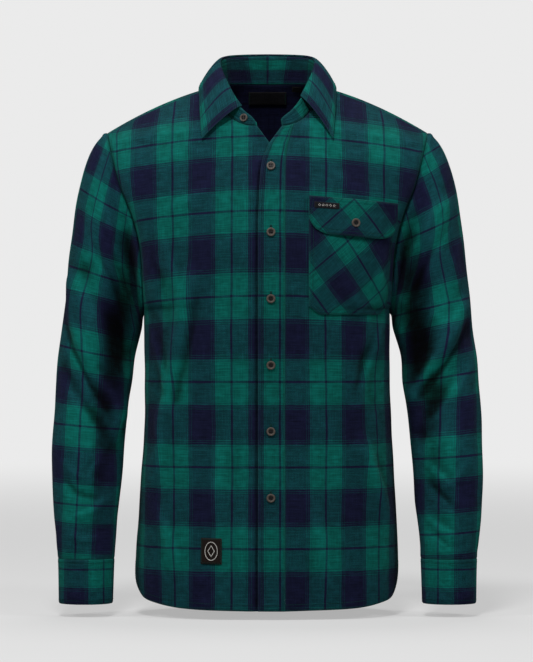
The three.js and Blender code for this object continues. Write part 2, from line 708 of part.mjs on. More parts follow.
function leafPoint(side, share, down) {
  const fold = foldAt(side, share);
  const edge = pointAt(LEAF_EDGE, 'share', share);
  edge.x *= side;
  const up = fold.clone().sub(neckAt(side, share)).normalize();
  const along = foldAt(side, share + 0.01).sub(foldAt(side, share - 0.01));
  const out = along.cross(up).multiplyScalar(side).normalize();
  const first = fold.clone().addScaledVector(out, -DOUBLED).addScaledVector(up, ROLL_GAP);
  const second = first.clone().addScaledVector(up, ROLL_HIGH).addScaledVector(out, 1);
  const third = fold.clone().lerp(edge, 0.25).addScaledVector(out, ROLL_OUT);
  third.z += 4;
  return new THREE.CubicBezierCurve3(first, second, third, edge).getPoint(down);
}
const leafStops = [
  { side: 1, share: LEAF_START_LEFT },
  ...collarStops.filter(({ side, share }) => {
    const start = side > 0 ? LEAF_START_LEFT : LEAF_START_RIGHT;
    return share > start + 0.02;
  }),
  { side: -1, share: LEAF_START_RIGHT },
];
const leafRows = LEAF_STEPS.map((down) =>
  leafStops.map(({ side, share }) => {
    const start = side > 0 ? LEAF_START_LEFT : LEAF_START_RIGHT;
    const low = lerp(LEAF_EDGE[0].share, 1, (share - start) / (1 - start));
    const spot = leafPoint(side, share, down);
    const edge = pointAt(LEAF_EDGE, 'share', low);
    edge.x *= side;
    const moved = pointAt(LEAF_EDGE, 'share', share);
    moved.x *= side;
    return spot.addScaledVector(edge.sub(moved), down ** 2);
  }),
);
addSheet('collar_leaf', leafRows.reverse(), DOUBLED, FLANNEL_GREEN);

sheets.forEach(study);
meetSeams();
sheets.forEach(thicken);

// Outward direction of a surface given by a function of height and cloth length
function normalOf(surface, t, length) {
  const step = 2;
  const across = surface(t, length + step).sub(surface(t, length - step));
  const up = surface(t + step, length).sub(surface(t - step, length));
  return across.cross(up).normalize();
}

// A flat piece laid on a surface: columns of cloth lengths, each from its bottom to its top
function layOn(name, surface, columns, steps, inside, thick, finish) {
  const rows = evenShares(steps).map((share) =>
    columns.map(({ length, bottom, top }) => {
      const t = lerp(bottom, top, share);
      return surface(t, length).addScaledVector(normalOf(surface, t, length), inside + thick);
    }),
  );
  const laid = sheets.length;
  addSheet(name, rows, thick, finish);
  study(sheets[laid]);
  thicken(sheets[laid]);
}

const leftChest = (t, length) => frontPoint(1, t, length);
const rightFrontFromEdge = (t, length) => frontPoint(-1, t, -length);
const pocketShares = [0, 0.04, 0.127, 0.22, 0.36, 0.5, 0.64, 0.78, 0.873, 0.96, 1];

function fromNearEdge(share) {
  return Math.min(share, 1 - share) * POCKET_WIDE;
}

// Pocket with cut-off lower corners
const pocketColumns = pocketShares.map((share) => ({
  length: POCKET_FROM + share * POCKET_WIDE,
  bottom: POCKET_BOTTOM + POCKET_CUT_HIGH * Math.max(0, 1 - fromNearEdge(share) / POCKET_CUT_WIDE),
  top: POCKET_TOP,
}));
addSheetOnChest('pocket', pocketColumns, 7, LIFT, CLOTH);

// Flap with round lower corners, lying on the pocket
const flapColumns = pocketShares.map((share) => {
  const near = 1 - Math.min(fromNearEdge(share) / FLAP_CORNER_WIDE, 1);
  const corner = FLAP_CORNER_HIGH * (1 - Math.sqrt(1 - near ** 2));
  return {
    length: POCKET_FROM + share * POCKET_WIDE,
    bottom: FLAP_TOP - FLAP_HIGH + corner,
    top: FLAP_TOP,
  };
});
const FLAP_INSIDE = LIFT + CLOTH + LAYER_GAP;
addSheetOnChest('pocket_flap', flapColumns, 4, FLAP_INSIDE, DOUBLED);

function addSheetOnChest(name, columns, steps, inside, thick) {
  layOn(name, leftChest, columns, steps, inside, thick, FLANNEL_NAVY);
}

// A plain rectangle on a surface
function layRectangle(name, surface, box, inside, thick, finish) {
  const columns = evenShares(box.columns).map((share) => ({
    length: lerp(box.from, box.to, share),
    bottom: box.bottom,
    top: box.top,
  }));
  layOn(name, surface, columns, 2, inside, thick, finish);
}
const FLAP_LABEL = { from: 63, to: 97, bottom: -162, top: -154, columns: 4 };
const HEM_PATCH = { from: -91, to: -62, bottom: -648, top: -613, columns: 3 };
const LABEL_THICK = 0.8;
const PATCH_THICK = 1.2;
const LABEL_INSIDE = FLAP_INSIDE + DOUBLED + LAYER_GAP;
layRectangle('label_flap', leftChest, FLAP_LABEL, LABEL_INSIDE, LABEL_THICK, LABEL_BLACK);
layRectangle('hem_patch', rightFrontFromEdge, HEM_PATCH, LIFT, PATCH_THICK, PATCH_BROWN);

// Inside of the yoke at the back neck, seen through the neck opening
function insideYoke(t, length) {
  const side = length < 0 ? -1 : 1;
  const down = -t;
  let near = yokeSteps / 2;
  let far = yokeSteps;
  const at = (step) => {
    const low = Math.floor(Math.min(step, yokeSteps - 0.001));
    const [a, b] = [yokeLine(side, low), yokeLine(side, low + 1)].map((line) =>
      alongLine(line.reverse(), [down])[0],
    );
    return a.lerp(b, step - low);
  };
  for (let i = 0; i < 20; i += 1) {
    const half = (near + far) / 2;
    if (Math.abs(at(half).x) > Math.abs(length)) near = half;
    else far = half;
  }
  return at(near);
}

// Labels turn their face inward, so their columns run the other way
function layInside(name, box, inside, thick) {
  const rows = evenShares(2).map((share) => {
    const t = lerp(box.bottom, box.top, share);
    return evenShares(box.columns).map((across) => {
      const spot = insideYoke(t, lerp(box.from, box.to, across));
      const inward = point(-spot.x * 0.3, -Math.abs(spot.y), -20).normalize();
      return spot.addScaledVector(inward, inside + thick);
    });
  });
  const laid = sheets.length;
  addSheet(name, rows, thick, LABEL_BLACK);
  study(sheets[laid]);
  thicken(sheets[laid]);
}
const NECK_LABEL = { from: -27, to: 27, bottom: -0.27, top: -0.1, columns: 6 };
const SIZE_TAB = { from: 35, to: 48, bottom: -0.1, top: -0.03, columns: 2 };
const NECK_LABEL_LIFT = 0.9;
layInside('label_neck', NECK_LABEL, CLOTH + NECK_LABEL_LIFT, LABEL_THICK);
layInside('label_size', SIZE_TAB, CLOTH + NECK_LABEL_LIFT, LABEL_THICK);

// Buttons with four holes
function ring(radius, corners, x = 0, y = 0) {
  return evenShares(corners)
    .slice(0, -1)
    .map((share) => {
      const turn = 2 * Math.PI * share;
      return new THREE.Vector2(x + radius * Math.cos(turn), y + radius * Math.sin(turn));
    });
}

function addButton(name, spot, normal, size) {
  const outline = new THREE.Shape(ring(size / 2, 14));
  const reach = size * 0.13;
  for (const [x, y] of [[1, 1], [-1, 1], [-1, -1], [1, -1]]) {
    outline.holes.push(new THREE.Path(ring(size * 0.07, 4, x * reach, y * reach)));
  }
  const geometry = new THREE.ExtrudeGeometry(outline, { depth: BUTTON_THICK, bevelEnabled: false });
  const mesh = addMesh(name, geometry, BUTTON_BROWN);
  mesh.position.copy(spot).addScaledVector(normal, LAYER_GAP);
  mesh.quaternion.setFromUnitVectors(point(0, 0, 1), normal);
}

function placketFace(t) {
  const [, middle] = placketRow(t);
  return point(BUTTON_X, middle.y, t);
}
for (let i = 0; i < FRONT_BUTTONS; i += 1) {
  const t = FIRST_BUTTON_Z - i * BUTTON_PITCH;
  const lean = placketFace(t + 5).sub(placketFace(t - 5));
  const normal = point(1, 0, 0).cross(lean).normalize();
  addButton(`button_front_${i + 1}`, placketFace(t), normal, BUTTON_SIZE);
}

// Flap button, on the middle of the flap
const FLAP_BUTTON_Z = -178;
const flapButton = { t: FLAP_BUTTON_Z, length: POCKET_FROM + POCKET_WIDE / 2 };
const flapNormal = normalOf(leftChest, flapButton.t, flapButton.length);
const flapSpot = leftChest(flapButton.t, flapButton.length);
flapSpot.addScaledVector(flapNormal, FLAP_INSIDE + DOUBLED);
addButton('button_pocket', flapSpot, flapNormal, BUTTON_SIZE);

// Collar button, on the outer face of the stand's right end
const standAt = (share, up) => neckAt(-1, share).lerp(foldAt(-1, share), up);
const collarSpot = standAt(0.1, 0.5);
const COLLAR_SINK = 0.35;
const collarNormal = standAt(0.14, 0.5)
  .sub(standAt(0.06, 0.5))
  .cross(standAt(0.1, 0).sub(standAt(0.1, 1)))
  .normalize();
collarSpot.addScaledVector(collarNormal, -COLLAR_SINK);
addButton('button_collar', collarSpot, collarNormal, BUTTON_SIZE - 1);

// Sleeve plackets and cuff buttons at the back of each wrist
const WRIST_ANGLE = 70;
const SLEEVE_PLACKET_HIGH = 110;
const SLEEVE_PLACKET_TURN = 18;
for (const [name, side] of [['left', 1], ['right', -1]]) {
  const wrist = (t, turn) => tubePoint(side, WRIST_ANGLE + side * turn, t);
  const columns = [-1, 0, 1].map((share) => ({
    length: share * SLEEVE_PLACKET_TURN,
    bottom: CUFF_TOP_Z + 1,
    top: CUFF_TOP_Z + SLEEVE_PLACKET_HIGH,
  }));
  layOn(`sleeve_placket_${name}`, wrist, columns, 4, LIFT, CLOTH, FLANNEL_GREEN);
  const cuffMiddle = (CUFF_TOP_Z + CUFF_BOTTOM_Z) / 2;
  addButton(`button_cuff_${name}`, wrist(cuffMiddle, 0), normalOf(wrist, cuffMiddle, 0), BUTTON_SIZE);
}

export default group;
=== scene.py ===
"""Looks of a flannel shirt in green and navy check, filled out as if worn, with nobody inside.

Millimetres until a mesh is made, +Z up. The front faces -Y and the wearer's left is at +X.
Cloth coordinates, in millimetres, ride on each sheet as the attribute "cloth": across the
weave, up the weave, and the distance from the piece's nearest cut edge.
"""

import math

import bpy
import numpy as np
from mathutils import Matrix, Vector


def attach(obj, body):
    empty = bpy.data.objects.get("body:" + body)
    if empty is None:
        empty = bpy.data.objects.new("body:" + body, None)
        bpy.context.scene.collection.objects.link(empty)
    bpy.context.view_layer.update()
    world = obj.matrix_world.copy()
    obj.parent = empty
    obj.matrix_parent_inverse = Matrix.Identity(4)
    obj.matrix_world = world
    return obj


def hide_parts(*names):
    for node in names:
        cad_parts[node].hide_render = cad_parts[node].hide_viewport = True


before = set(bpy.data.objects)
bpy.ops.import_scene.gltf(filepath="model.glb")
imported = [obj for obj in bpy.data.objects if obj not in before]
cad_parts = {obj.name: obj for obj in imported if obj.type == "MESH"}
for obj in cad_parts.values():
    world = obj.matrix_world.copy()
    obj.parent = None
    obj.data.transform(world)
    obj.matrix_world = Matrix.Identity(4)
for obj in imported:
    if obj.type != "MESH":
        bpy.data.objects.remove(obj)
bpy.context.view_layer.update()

# Sizes shared with the solids
CLOTH = 1.1
DOUBLED = 2.0
HEM_Z = -711
UNDERARM_Z = -300
SIDE_Y = -2
YOKE_Z = -88
NECK_Z = -50
OPEN_Z = -75
SLEEVE_TUBE_Z = -330
CUFF_TOP_Z = -643
CUFF_BOTTOM_Z = -705
PLACKET_LIFT = 1.5
PLACKET_WIDE = 37
UNDER_PUSH = 1.1
CHEST_PITCH = 3.0
BUTTON_X = 4.6
FIRST_BUTTON_Z = -107
BUTTON_PITCH = 90.1
FRONT_BUTTONS = 6
PLACKET_NECK_START = 0.025
PLACKET_NECK_END = 0.1
SHOULDER_NECK = 0.56
LEAF_START = {1: 0.27, -1: 0.18}
SIDES = (("left", 1), ("right", -1))


def table(text):
    """Named columns from lines of text, names first. The first column is the key, which rises."""
    names, *rows = (line.split() for line in text.strip().splitlines())
    found = dict(zip(names, np.array(rows, float).T))
    found["key"] = found[names[0]]
    return found


def folds(text):
    """Folds from lines of text: face, width, height and a line in the front view."""
    rows = (np.array(line.split(), float) for line in text.strip().splitlines())
    return [(*row[:3], row[3:].reshape(-1, 2)) for row in rows]


TORSO = table("""
z wide front back round
-712 180.5 118 112 2.25
-650 182.3 117.5 112 2.25
-600 180.2 116 109.5 2.25
-540 176.5 114 103 2.3
-470 172 113 95 2.3
-400 170.4 115 92 2.3
-330 170.5 119 100 2.4
-300 170.5 120.5 104.5 2.4
""")
HEM_RISE = table("""
share up
0 0
0.4 3
0.6 8
0.75 14
0.85 25
0.93 38
1 54
""")
FRONT_ROWS = table("""
t reach round angle bow
-300 120.5 2.4 180 0
-288 121 2.4 163 0
-268 121.8 2.35 146 0
-240 122.5 2.3 128 0
-200 122 2.25 107 0
-150 115 2.15 83 0
-107 103 2 65 0
-70 89 1.85 44 1
-50 80 1.7 33 2
-17 80 1.25 16 5
0 80 1 8 6
""")
BACK_ROWS = table("""
t reach round angle
-300 104.5 2.4 180
-288 105.5 2.4 163
-268 107.5 2.35 146
-240 110 2.3 128
-200 112 2.25 107
-150 110 2.1 84
-88 98 1.9 60
""")
ARMHOLE = {"y": -2, "z": -178, "deep": 53, "high": 122}
ARMHOLE_WIDE = table("""
z x
-300 170.5
-279 171.5
-228 174
-198 179
-165 189
-131 203
-79 217
-56 222
""")
NECKLINE = [
    (14.3, -80, -50.5),
    (30, -77, -49),
    (48, -66, -40),
    (62, -44, -22),
    (69, -20, -4),
    (70, 4, 9),
    (61, 32, 14),
    (35, 50, 16),
    (0, 56, 16),
]
FOLD = table("""
share x y z
0 15 -79.5 -46
0.05 21.5 -77.5 -38
0.11 30 -73.5 -31
0.18 37 -69 -24
0.27 47 -58 -10
0.38 56.5 -42 9
0.5 64 -20 27
0.62 66.5 6 43
0.76 57 34 51
0.88 33 52 54.5
1 0 57 55.5
""")
LEAF_EDGE = table("""
share x y z
0.18 90 -87 -68
0.28 92 -75 -50
0.38 93.5 -59 -32
0.48 95 -36 -11
0.6 95.5 2 9
0.74 80 46 10
0.87 45 71 6
1 0 76 4
""")
ROLL_GAP = 0.95
ROLL_HIGH = 9
ROLL_OUT = 8
YOKE_PROUD = table("""
share y z
0 0 6
0.2 5 9
0.4 12 6
0.6 8 5
1 4 1.5
""")
YOKE_STEPS = 13
YOKE_ARM_STEPS = 5
YOKE_ARM_ANGLES = [-8, 0, 15, 30, 45, 60]
OPEN_NECK = table("""
z free right seam back
-185 -13 19 23.5 0
-133 -11 19 23.5 0
-114 -9.7 18 23.8 0.2
-103 -8.2 16 24.3 0.5
-93 -5.8 12.5 25.3 1
-82 -1.1 7.5 26.8 1.6
-71 2.9 1 28.6 2.3
-62 6.7 -5 30.5 3.2
-56 11.7 -9.5 32 4
-50 19 -14.3 33.5 5
""")
SLEEVE_START = table("""
angle out side down
0 150 0 66
45 120 40 60
90 95 35 60
135 28 22 50
180 8 0 32
""")
SLEEVE_ROUND = 2.1
SLEEVE = table("""
z middle half y deep
-705 250 37.3 -45 36
-643 249.5 39 -45 37.5
-618 250 41.2 -44 39.5
-590 250.5 43.8 -41 42
-563 249.5 46 -38 45
-508 248.5 49 -31 50
-467 246 50.5 -24 54
-430 243.5 51.2 -17 57.5
-400 240 52.5 -11 60
-365 237.5 53 -5 62
-330 230.5 55.5 0 64
""")
# The large folds, which the solids have too. A face of -1 is the front, 1 the back.
TORSO_FOLDS = folds("""
-1 20 4 -105 -262 -158 -520
-1 16 -4 -164 -320 -136 -415
-1 18 -4 136 -372 150 -425
-1 18 4 132 -492 172 -595
1 24 -5 60 -240 130 -430
1 24 -5 -50 -300 -125 -470
""")
SLEEVE_FOLDS = {
    1: folds("""
-1 15 6 268 -300 205 -418
-1 14 -5 283 -330 212 -470
-1 16 5 246 -160 190 -285
1 18 -6 268 -350 212 -410
"""),
    -1: folds("""
-1 15 6 -270 -262 -196 -448
-1 16 -5 -250 -250 -196 -360
-1 14 -5 -280 -380 -214 -490
1 18 -6 -268 -380 -212 -440
"""),
}
# Creases of the cloth alone, with tapered ends
CREASE_DEPTH = 1.8
TORSO_CREASES = folds("""
-1 6 2.2 -166 -300 -158 -345 -137 -405 -128 -440
-1 8 2.0 -104 -240 -113 -300 -127 -380 -146 -470 -158 -530
-1 7 -1.8 -92 -262 -104 -330 -118 -392 -134 -460
-1 6 1.6 -150 -440 -143 -480 -150 -520
-1 9 1.4 -160 -560 -135 -610 -120 -660
-1 7 2.0 163 -296 150 -350 136 -385 126 -430
-1 6 -1.8 148 -330 134 -372 120 -420
-1 7 1.8 128 -470 143 -520 160 -566 170 -600
-1 6 -1.5 150 -500 166 -548 174 -580
-1 10 1.2 60 -560 75 -620 82 -690
-1 9 1.0 -62 -470 -70 -540 -66 -600
-1 8 1.2 100 -250 126 -300 146 -330
-1 8 1.3 -150 -190 -128 -250 -112 -300
-1 7 -1.2 -165 -215 -146 -262 -140 -300
-1 7 1.2 158 -205 150 -250 156 -290
-1 10 0.9 -60 -110 -100 -150 -150 -170
-1 10 0.9 70 -100 110 -130 160 -150
1 9 2.0 -140 -150 -90 -230 -60 -330
1 9 -1.8 -120 -170 -76 -250 -52 -330
1 9 2.0 146 -160 100 -240 66 -320
1 8 -1.8 128 -180 86 -262 60 -345
1 8 1.8 166 -330 120 -400 60 -450
1 8 1.8 -166 -340 -110 -420 -40 -455
1 8 -1.6 -160 -380 -100 -450 -30 -480
1 9 1.4 -30 -470 30 -480 90 -462
1 10 1.4 -90 -540 -100 -610 -96 -690
1 10 1.4 84 -530 96 -600 104 -690
1 10 1.2 0 -540 6 -620 2 -700
""")
SLEEVE_CREASES = {
    1: folds("""
-1 7 2.2 272 -280 262 -318 236 -366 206 -410
-1 5 -1.8 280 -312 262 -350 232 -392 205 -430
-1 6 1.7 247 -150 226 -176 206 -214 190 -262
-1 5 -1.5 256 -176 236 -206 214 -246 200 -290
-1 6 1.5 282 -380 252 -426 216 -462
-1 5 1.6 222 -515 240 -532 262 -556
-1 4.5 -1.4 219 -534 236 -550 256 -572
-1 5 1.2 281 -500 262 -530 240 -548
-1 5 1.3 222 -588 240 -604 262 -612
-1 4 -1.0 226 -606 246 -622 268 -626
-1 6 1.1 270 -200 258 -236 262 -272
1 7 2.0 276 -320 250 -352 214 -380
1 6 -1.8 280 -380 250 -402 210 -424
1 6 1.8 278 -420 246 -444 212 -450
1 6 1.5 240 -130 226 -190 222 -250
1 5 1.5 282 -520 256 -545 226 -560
1 5 -1.2 276 -585 252 -600 226 -604
"""),
    -1: folds("""
-1 7 2.2 -274 -250 -270 -318 -240 -382 -208 -434
-1 5 -1.8 -281 -300 -270 -352 -240 -410 -212 -452
-1 6 1.7 -240 -140 -222 -180 -204 -222 -190 -270
-1 5 -1.4 -252 -190 -232 -224 -212 -262 -200 -304
-1 6 1.5 -284 -400 -256 -446 -218 -486
-1 5 1.5 -284 -508 -262 -528 -232 -536
-1 4.5 -1.3 -282 -530 -260 -552 -228 -560
-1 5 1.4 -222 -560 -244 -580 -272 -588
-1 4.5 1.2 -276 -606 -252 -616 -226 -612
-1 5 1.1 -226 -496 -240 -520 -246 -548
-1 6 1.1 -262 -170 -256 -210 -262 -250
1 7 2.0 -276 -340 -250 -372 -214 -398
1 6 -1.8 -280 -400 -248 -420 -210 -440
1 6 1.7 -278 -446 -246 -466 -214 -470
1 6 1.5 -238 -126 -226 -196 -218 -250
1 5 1.5 -282 -540 -256 -560 -226 -566
1 5 -1.2 -276 -600 -252 -612 -226 -616
"""),
}

# Valleys where each sleeve's cloth falls back beside the body: width, depth and a line
VALLEY = {
    1: (25, 22, (186, -178), (197, -235), (200, -300), (210, -360), (222, -445), (228, -590)),
    -1: (24, 21, (184, -175), (191, -240), (197, -300), (210, -360), (221, -445), (227, -600)),
}
# The ridge of the sleeve's cloth beside the armhole seam
SEAM_RIDGE = 2.0
RIDGE_FROM_SEAM = 5
RIDGE_WIDE = 3.5

# Check: middle of the green stripes and heights of their thin lines
WARP_REPEAT = 82.5
WEFT_REPEAT = 116
LINE_HEIGHTS = table("""
z v
-743 -116
-626.5 0
-516 116
-400 232
-283 348
-167.6 464
-64.5 580
40 696
""")
SLEEVE_LEAN = table("""
z lean
-720 0.05
-460 0.09
-360 0.21
-255 0.3
-150 0.6
-60 0.7
""")
SIDE_DROOP = table("""
z down
-400 0
-283 12
-167 17
-64 20
""")
SLEEVE_HEIGHTS = {
    1: table("""
z v
-712 -116
-608 0
-503.6 116
-395 232
-297 348
-188 464
-80 580
20 696
"""),
    -1: table("""
z v
-677 -24
-569 116
-462 232
-362 348
-255 464
-152 580
-48 696
"""),
}
SLEEVE_LINE = {
    1: table("""
z x
-720 233
-609 233
-394 238.6
-297 249
-266 244
-224 236.4
-178 240
-137 233.7
-91 216
-40 198
"""),
    -1: table("""
z x
-720 263
-646 263
-358 253
-305 254.5
-254 248
-228 241
-183 242
-145 234.5
-87 218
-40 200
"""),
}


def value(source, name, at):
    """Smooth value of a table's column."""
    keys, values = source["key"], source[name]
    at = np.clip(at, keys[0], keys[-1])
    i = np.clip(np.searchsorted(keys, at) - 1, 0, len(keys) - 2)
    after = np.minimum(np.arange(len(keys)) + 1, len(keys) - 1)
    before = np.maximum(np.arange(len(keys)) - 1, 0)
    slopes = (values[after] - values[before]) / (keys[after] - keys[before])
    span = keys[i + 1] - keys[i]
    share = (at - keys[i]) / span
    rise = (values[i + 1] - values[i]) / span
    straight = values[i] + (values[i + 1] - values[i]) * share
    early = (slopes[i] - rise) * span * share * (1 - share) ** 2
    late = (slopes[i + 1] - rise) * span * share**2 * (1 - share)
    return straight + early - late


def lerp(a, b, share):
    return a + (b - a) * share


def smoothstep(at, low, high):
    share = np.clip((at - low) / (high - low), 0, 1)
    return share * share * (3 - 2 * share)


def unit(vectors):
    return vectors / np.maximum(np.linalg.norm(vectors, axis=-1, keepdims=True), 1e-9)


def reach(net, axis=0):
    """Length reached at each point of a line, or of a net along one of its axes."""
    steps = np.diff(net, axis=axis, prepend=net.take([0], axis))
    return np.cumsum(np.linalg.norm(steps, axis=-1), axis)


def along(line, shares):
    done = reach(line)
    at = np.clip(shares, 0, 1) * done[-1]
    return np.stack([np.interp(at, done, line[:, k]) for k in range(line.shape[1])], 1)


def stops(length, pitch):
    """Shares along a length, close together at both ends and evenly spaced between."""
    fine = np.array([0, 0.5, 1.1, 2]) / length
    count = max(int(length / pitch), 2)
    middle = np.linspace(fine[-1], 1 - fine[-1], count)[1:-1]
    return np.concatenate([fine, middle, 1 - fine[::-1]])


def spaced(low, high, pitch):
    return lerp(low, high, stops(high - low, pitch))


def hermite(start, leave, end, arrive, s):
    """Cubic from start to end, with a direction at each."""
    return (
        start * (2 * s**3 - 3 * s**2 + 1)
        + leave * (s**3 - 2 * s**2 + s)
        + end * (3 * s**2 - 2 * s**3)
        + arrive * (s**3 - s**2)
    )


def neck_curve():
    """Dense points of the half neckline, by a centripetal spline through its points."""
    spots = np.array(NECKLINE, float)
    spots = np.vstack([2 * spots[0] - spots[1], spots, 2 * spots[-1] - spots[-2]])
    s = np.linspace(0, 1, 60)[:, None]
    found = []
    for p0, p1, p2, p3 in zip(spots, spots[1:], spots[2:], spots[3:]):
        d0, d1, d2 = (np.linalg.norm(b - a) ** 0.5 for a, b in ((p0, p1), (p1, p2), (p2, p3)))
        leave = ((p1 - p0) / d0 - (p2 - p0) / (d0 + d1) + (p2 - p1) / d1) * d1
        arrive = ((p2 - p1) / d1 - (p3 - p1) / (d1 + d2) + (p3 - p2) / d2) * d1
        found.append(hermite(p1, leave, p2, arrive, s))
    return np.vstack([found[0]] + [part[1:] for part in found[1:]])


NECK = neck_curve()
NECK_LENGTH = reach(NECK)[-1]


def neck_at(side, share):
    return along(NECK, np.atleast_1d(share)) * (side, 1, 1)


def armhole_at(side, angle):
    turn = np.radians(angle)
    z = ARMHOLE["z"] + ARMHOLE["high"] * np.cos(turn)
    y = ARMHOLE["y"] + ARMHOLE["deep"] * np.sin(turn)
    return np.stack([side * value(ARMHOLE_WIDE, "x", z), y, z], -1)


TURN_SHARES = np.linspace(0, 1, 161)
TURNS = TURN_SHARES * math.pi / 2


def quarter(start, end, roundness, bow):
    """Quarter of a superellipse in plan, from the centre to the side."""
    across = np.sin(TURNS) ** (2 / roundness)
    ahead = np.cos(TURNS) ** (2 / roundness)
    ahead[-1] = 0
    line = np.stack(
        [lerp(start[0], end[0], across), lerp(end[1], start[1], ahead), 0 * across], 1
    )
    share = reach(line)
    share = share / share[-1]
    line[:, 2] = lerp(start[2], end[2], share) + bow * 4 * share * (1 - share)
    return line


def lower_row(side, start_x, t, face):
    down = np.clip((UNDERARM_Z - t) / (UNDERARM_Z - HEM_Z), 0, 1)
    z = t + value(HEM_RISE, "up", TURN_SHARES) * down
    roundness = value(TORSO, "round", z)
    ahead = np.cos(TURNS)
    ahead[-1] = 0
    x = side * lerp(start_x, value(TORSO, "wide", z), np.sin(TURNS) ** (2 / roundness))
    far = face * value(TORSO, "front" if face < 0 else "back", z)
    return np.stack([x, lerp(SIDE_Y, far, ahead ** (2 / roundness)), z], 1)


def front_row(side, t):
    """A row of a front from its placket seam or the neckline to the side."""
    seam = value(OPEN_NECK, "seam", t)
    if t < UNDERARM_Z:
        return lower_row(side, seam, t, -1)
    if t >= NECK_Z:
        first = PLACKET_NECK_END if side > 0 else 0
        start = neck_at(side, lerp(first, SHOULDER_NECK, (t - NECK_Z) / -NECK_Z))[0]
    else:
        ahead = value(OPEN_NECK, "back", t) - value(FRONT_ROWS, "reach", t)
        start = np.array([side * seam, ahead, t])
    end = armhole_at(side, -value(FRONT_ROWS, "angle", t))
    bow = value(FRONT_ROWS, "bow", t)
    return quarter(start, end, value(FRONT_ROWS, "round", t), bow)


def right_row(t):
    """The wearer's right front runs on under the placket."""
    line = front_row(-1, t)
    if t >= NECK_Z:
        return line
    edge = value(OPEN_NECK, "right", t)
    flat_x = np.linspace(edge, line[0, 0], 12)[:-1]
    flat = np.stack([flat_x, 0 * flat_x + line[0, 1], 0 * flat_x + line[0, 2]], 1)
    push = UNDER_PUSH * (1 - smoothstep(t, -62, -52))
    flat[:, 1] += push * smoothstep(flat_x, -22, -8)
    return np.vstack([flat, line])


def back_row(side, t):
    if t < UNDERARM_Z:
        return lower_row(side, 0, t, 1)
    start = np.array([0, value(BACK_ROWS, "reach", t), t])
    end = armhole_at(side, value(BACK_ROWS, "angle", t))
    return quarter(start, end, value(BACK_ROWS, "round", t), 0)


def rows_between(low, high, pitch):
    return np.linspace(low, high, max(int((high - low) / pitch), 1) + 1)


PITCH = 3.2
PLACKET_GAP = 2.6
LOWER = spaced(HEM_Z, UNDERARM_Z, PITCH)[:-3]
FRONT_HEIGHTS = np.concatenate(
    [
        LOWER,
        rows_between(UNDERARM_Z, OPEN_Z, PITCH),
        rows_between(OPEN_Z, NECK_Z, PITCH)[1:],
        rows_between(NECK_Z, -2.2, 1.7)[1:],
        [-1.2, -0.6, 0],
    ]
)
BACK_HEIGHTS = np.concatenate(
    [LOWER, rows_between(UNDERARM_Z, YOKE_Z - 3, PITCH), [YOKE_Z - 1, YOKE_Z]]
)


def opened(row, t, shares):
    """A row at given shares; between the last placket row and the neckline it is a blend."""
    if OPEN_Z < t < NECK_Z:
        up = (t - OPEN_Z) / (NECK_Z - OPEN_Z)
        return lerp(along(row(OPEN_Z), shares), along(row(NECK_Z), shares), up)
    return along(row(t), shares)


# Folds


def nearest(x, z, line):
    """Distance to a line of points in the front view, and the share of it reached there."""
    line = np.array(line, float)
    done = reach(line)
    best = np.full(np.shape(x), 1e9)
    share = np.zeros(np.shape(x))
    for i in range(len(line) - 1):
        step = line[i + 1] - line[i]
        part = ((x - line[i, 0]) * step[0] + (z - line[i, 1]) * step[1]) / (step @ step)
        part = np.clip(part, 0, 1)
        away = np.hypot(x - line[i, 0] - part * step[0], z - line[i, 1] - part * step[1])
        closer = away < best
        best = np.where(closer, away, best)
        share = np.where(closer, lerp(done[i], done[i + 1], part) / done[-1], share)
    return best, share


def fold_move(spots, out, group, tapered=False):
    """How far folds, or creases with tapered ends, move points outward."""
    move = np.zeros(spots.shape[:-1])
    for face, wide, high, line in group:
        away, share = nearest(spots[..., 0], spots[..., 2], line)
        facing = smoothstep(face * out[..., 1], 0.05, 0.6)
        taper = np.sin(np.pi * np.clip(share, 0.04, 0.96)) ** 0.7 * CREASE_DEPTH if tapered else 1
        move += high * taper * np.exp(-((away / wide) ** 2)) * facing
    return move


def slack(spots):
    """Slow, uneven rise and fall of cloth that hangs free."""
    x, y, z = spots[..., 0], spots[..., 1], spots[..., 2]
    slow = np.sin(x / 21 + 1.7 * np.sin(z / 83)) * np.sin(z / 47 + x / 60 + 0.8)
    drift = np.sin(z / 61 - x / 37 + 2.1) * np.cos(y / 40)
    flutter = np.sin(x / 17 + 0.6 * np.sin(x / 43)) * smoothstep(z, -560, -711)
    wrinkle = np.sin(z / 9.5 + 2.2 * np.sin(x / 31) + y / 25) * np.sin(x / 27 + z / 90)
    return 0.8 * slow + 0.8 * drift + 1.1 * flutter + 0.22 * wrinkle


def drape(spots, hold=1.0):
    """Body cloth with its folds. hold is 0 where a seam keeps the cloth in place."""
    out = unit(spots * (1, 1, 0))
    small = fold_move(spots, out, TORSO_CREASES, True) + slack(spots)
    return spots + out * (fold_move(spots, out, TORSO_FOLDS) + small * hold)[..., None]


# Sheets of cloth
piece_grid = {}


def edge_distance(grid, closed=False):
    """Distance of each point of a net from the nearest of its edges."""
    up = reach(grid)
    near = np.minimum(up, up[-1] - up)
    if closed:
        return near
    over = reach(grid, 1)
    return np.minimum(near, np.minimum(over, over[:, -1:] - over))


def grid_normals(grid, closed=False):
    if closed:
        over = np.roll(grid, -1, axis=1) - np.roll(grid, 1, axis=1)
    else:
        over = np.gradient(grid, axis=1)
    return unit(np.cross(over, np.gradient(grid, axis=0)))


def net_index(rows, columns, closed=True):
    """Numbers of a net's points; a closed one has its first column again at the end."""
    index = np.arange(rows * columns).reshape(rows, columns)
    return np.hstack([index, index[:, :1]]) if closed else index


def quads(index):
    corners = [index[:-1, :-1], index[:-1, 1:], index[1:, 1:], index[1:, :-1]]
    return np.stack(corners, -1).reshape(-1, 4)


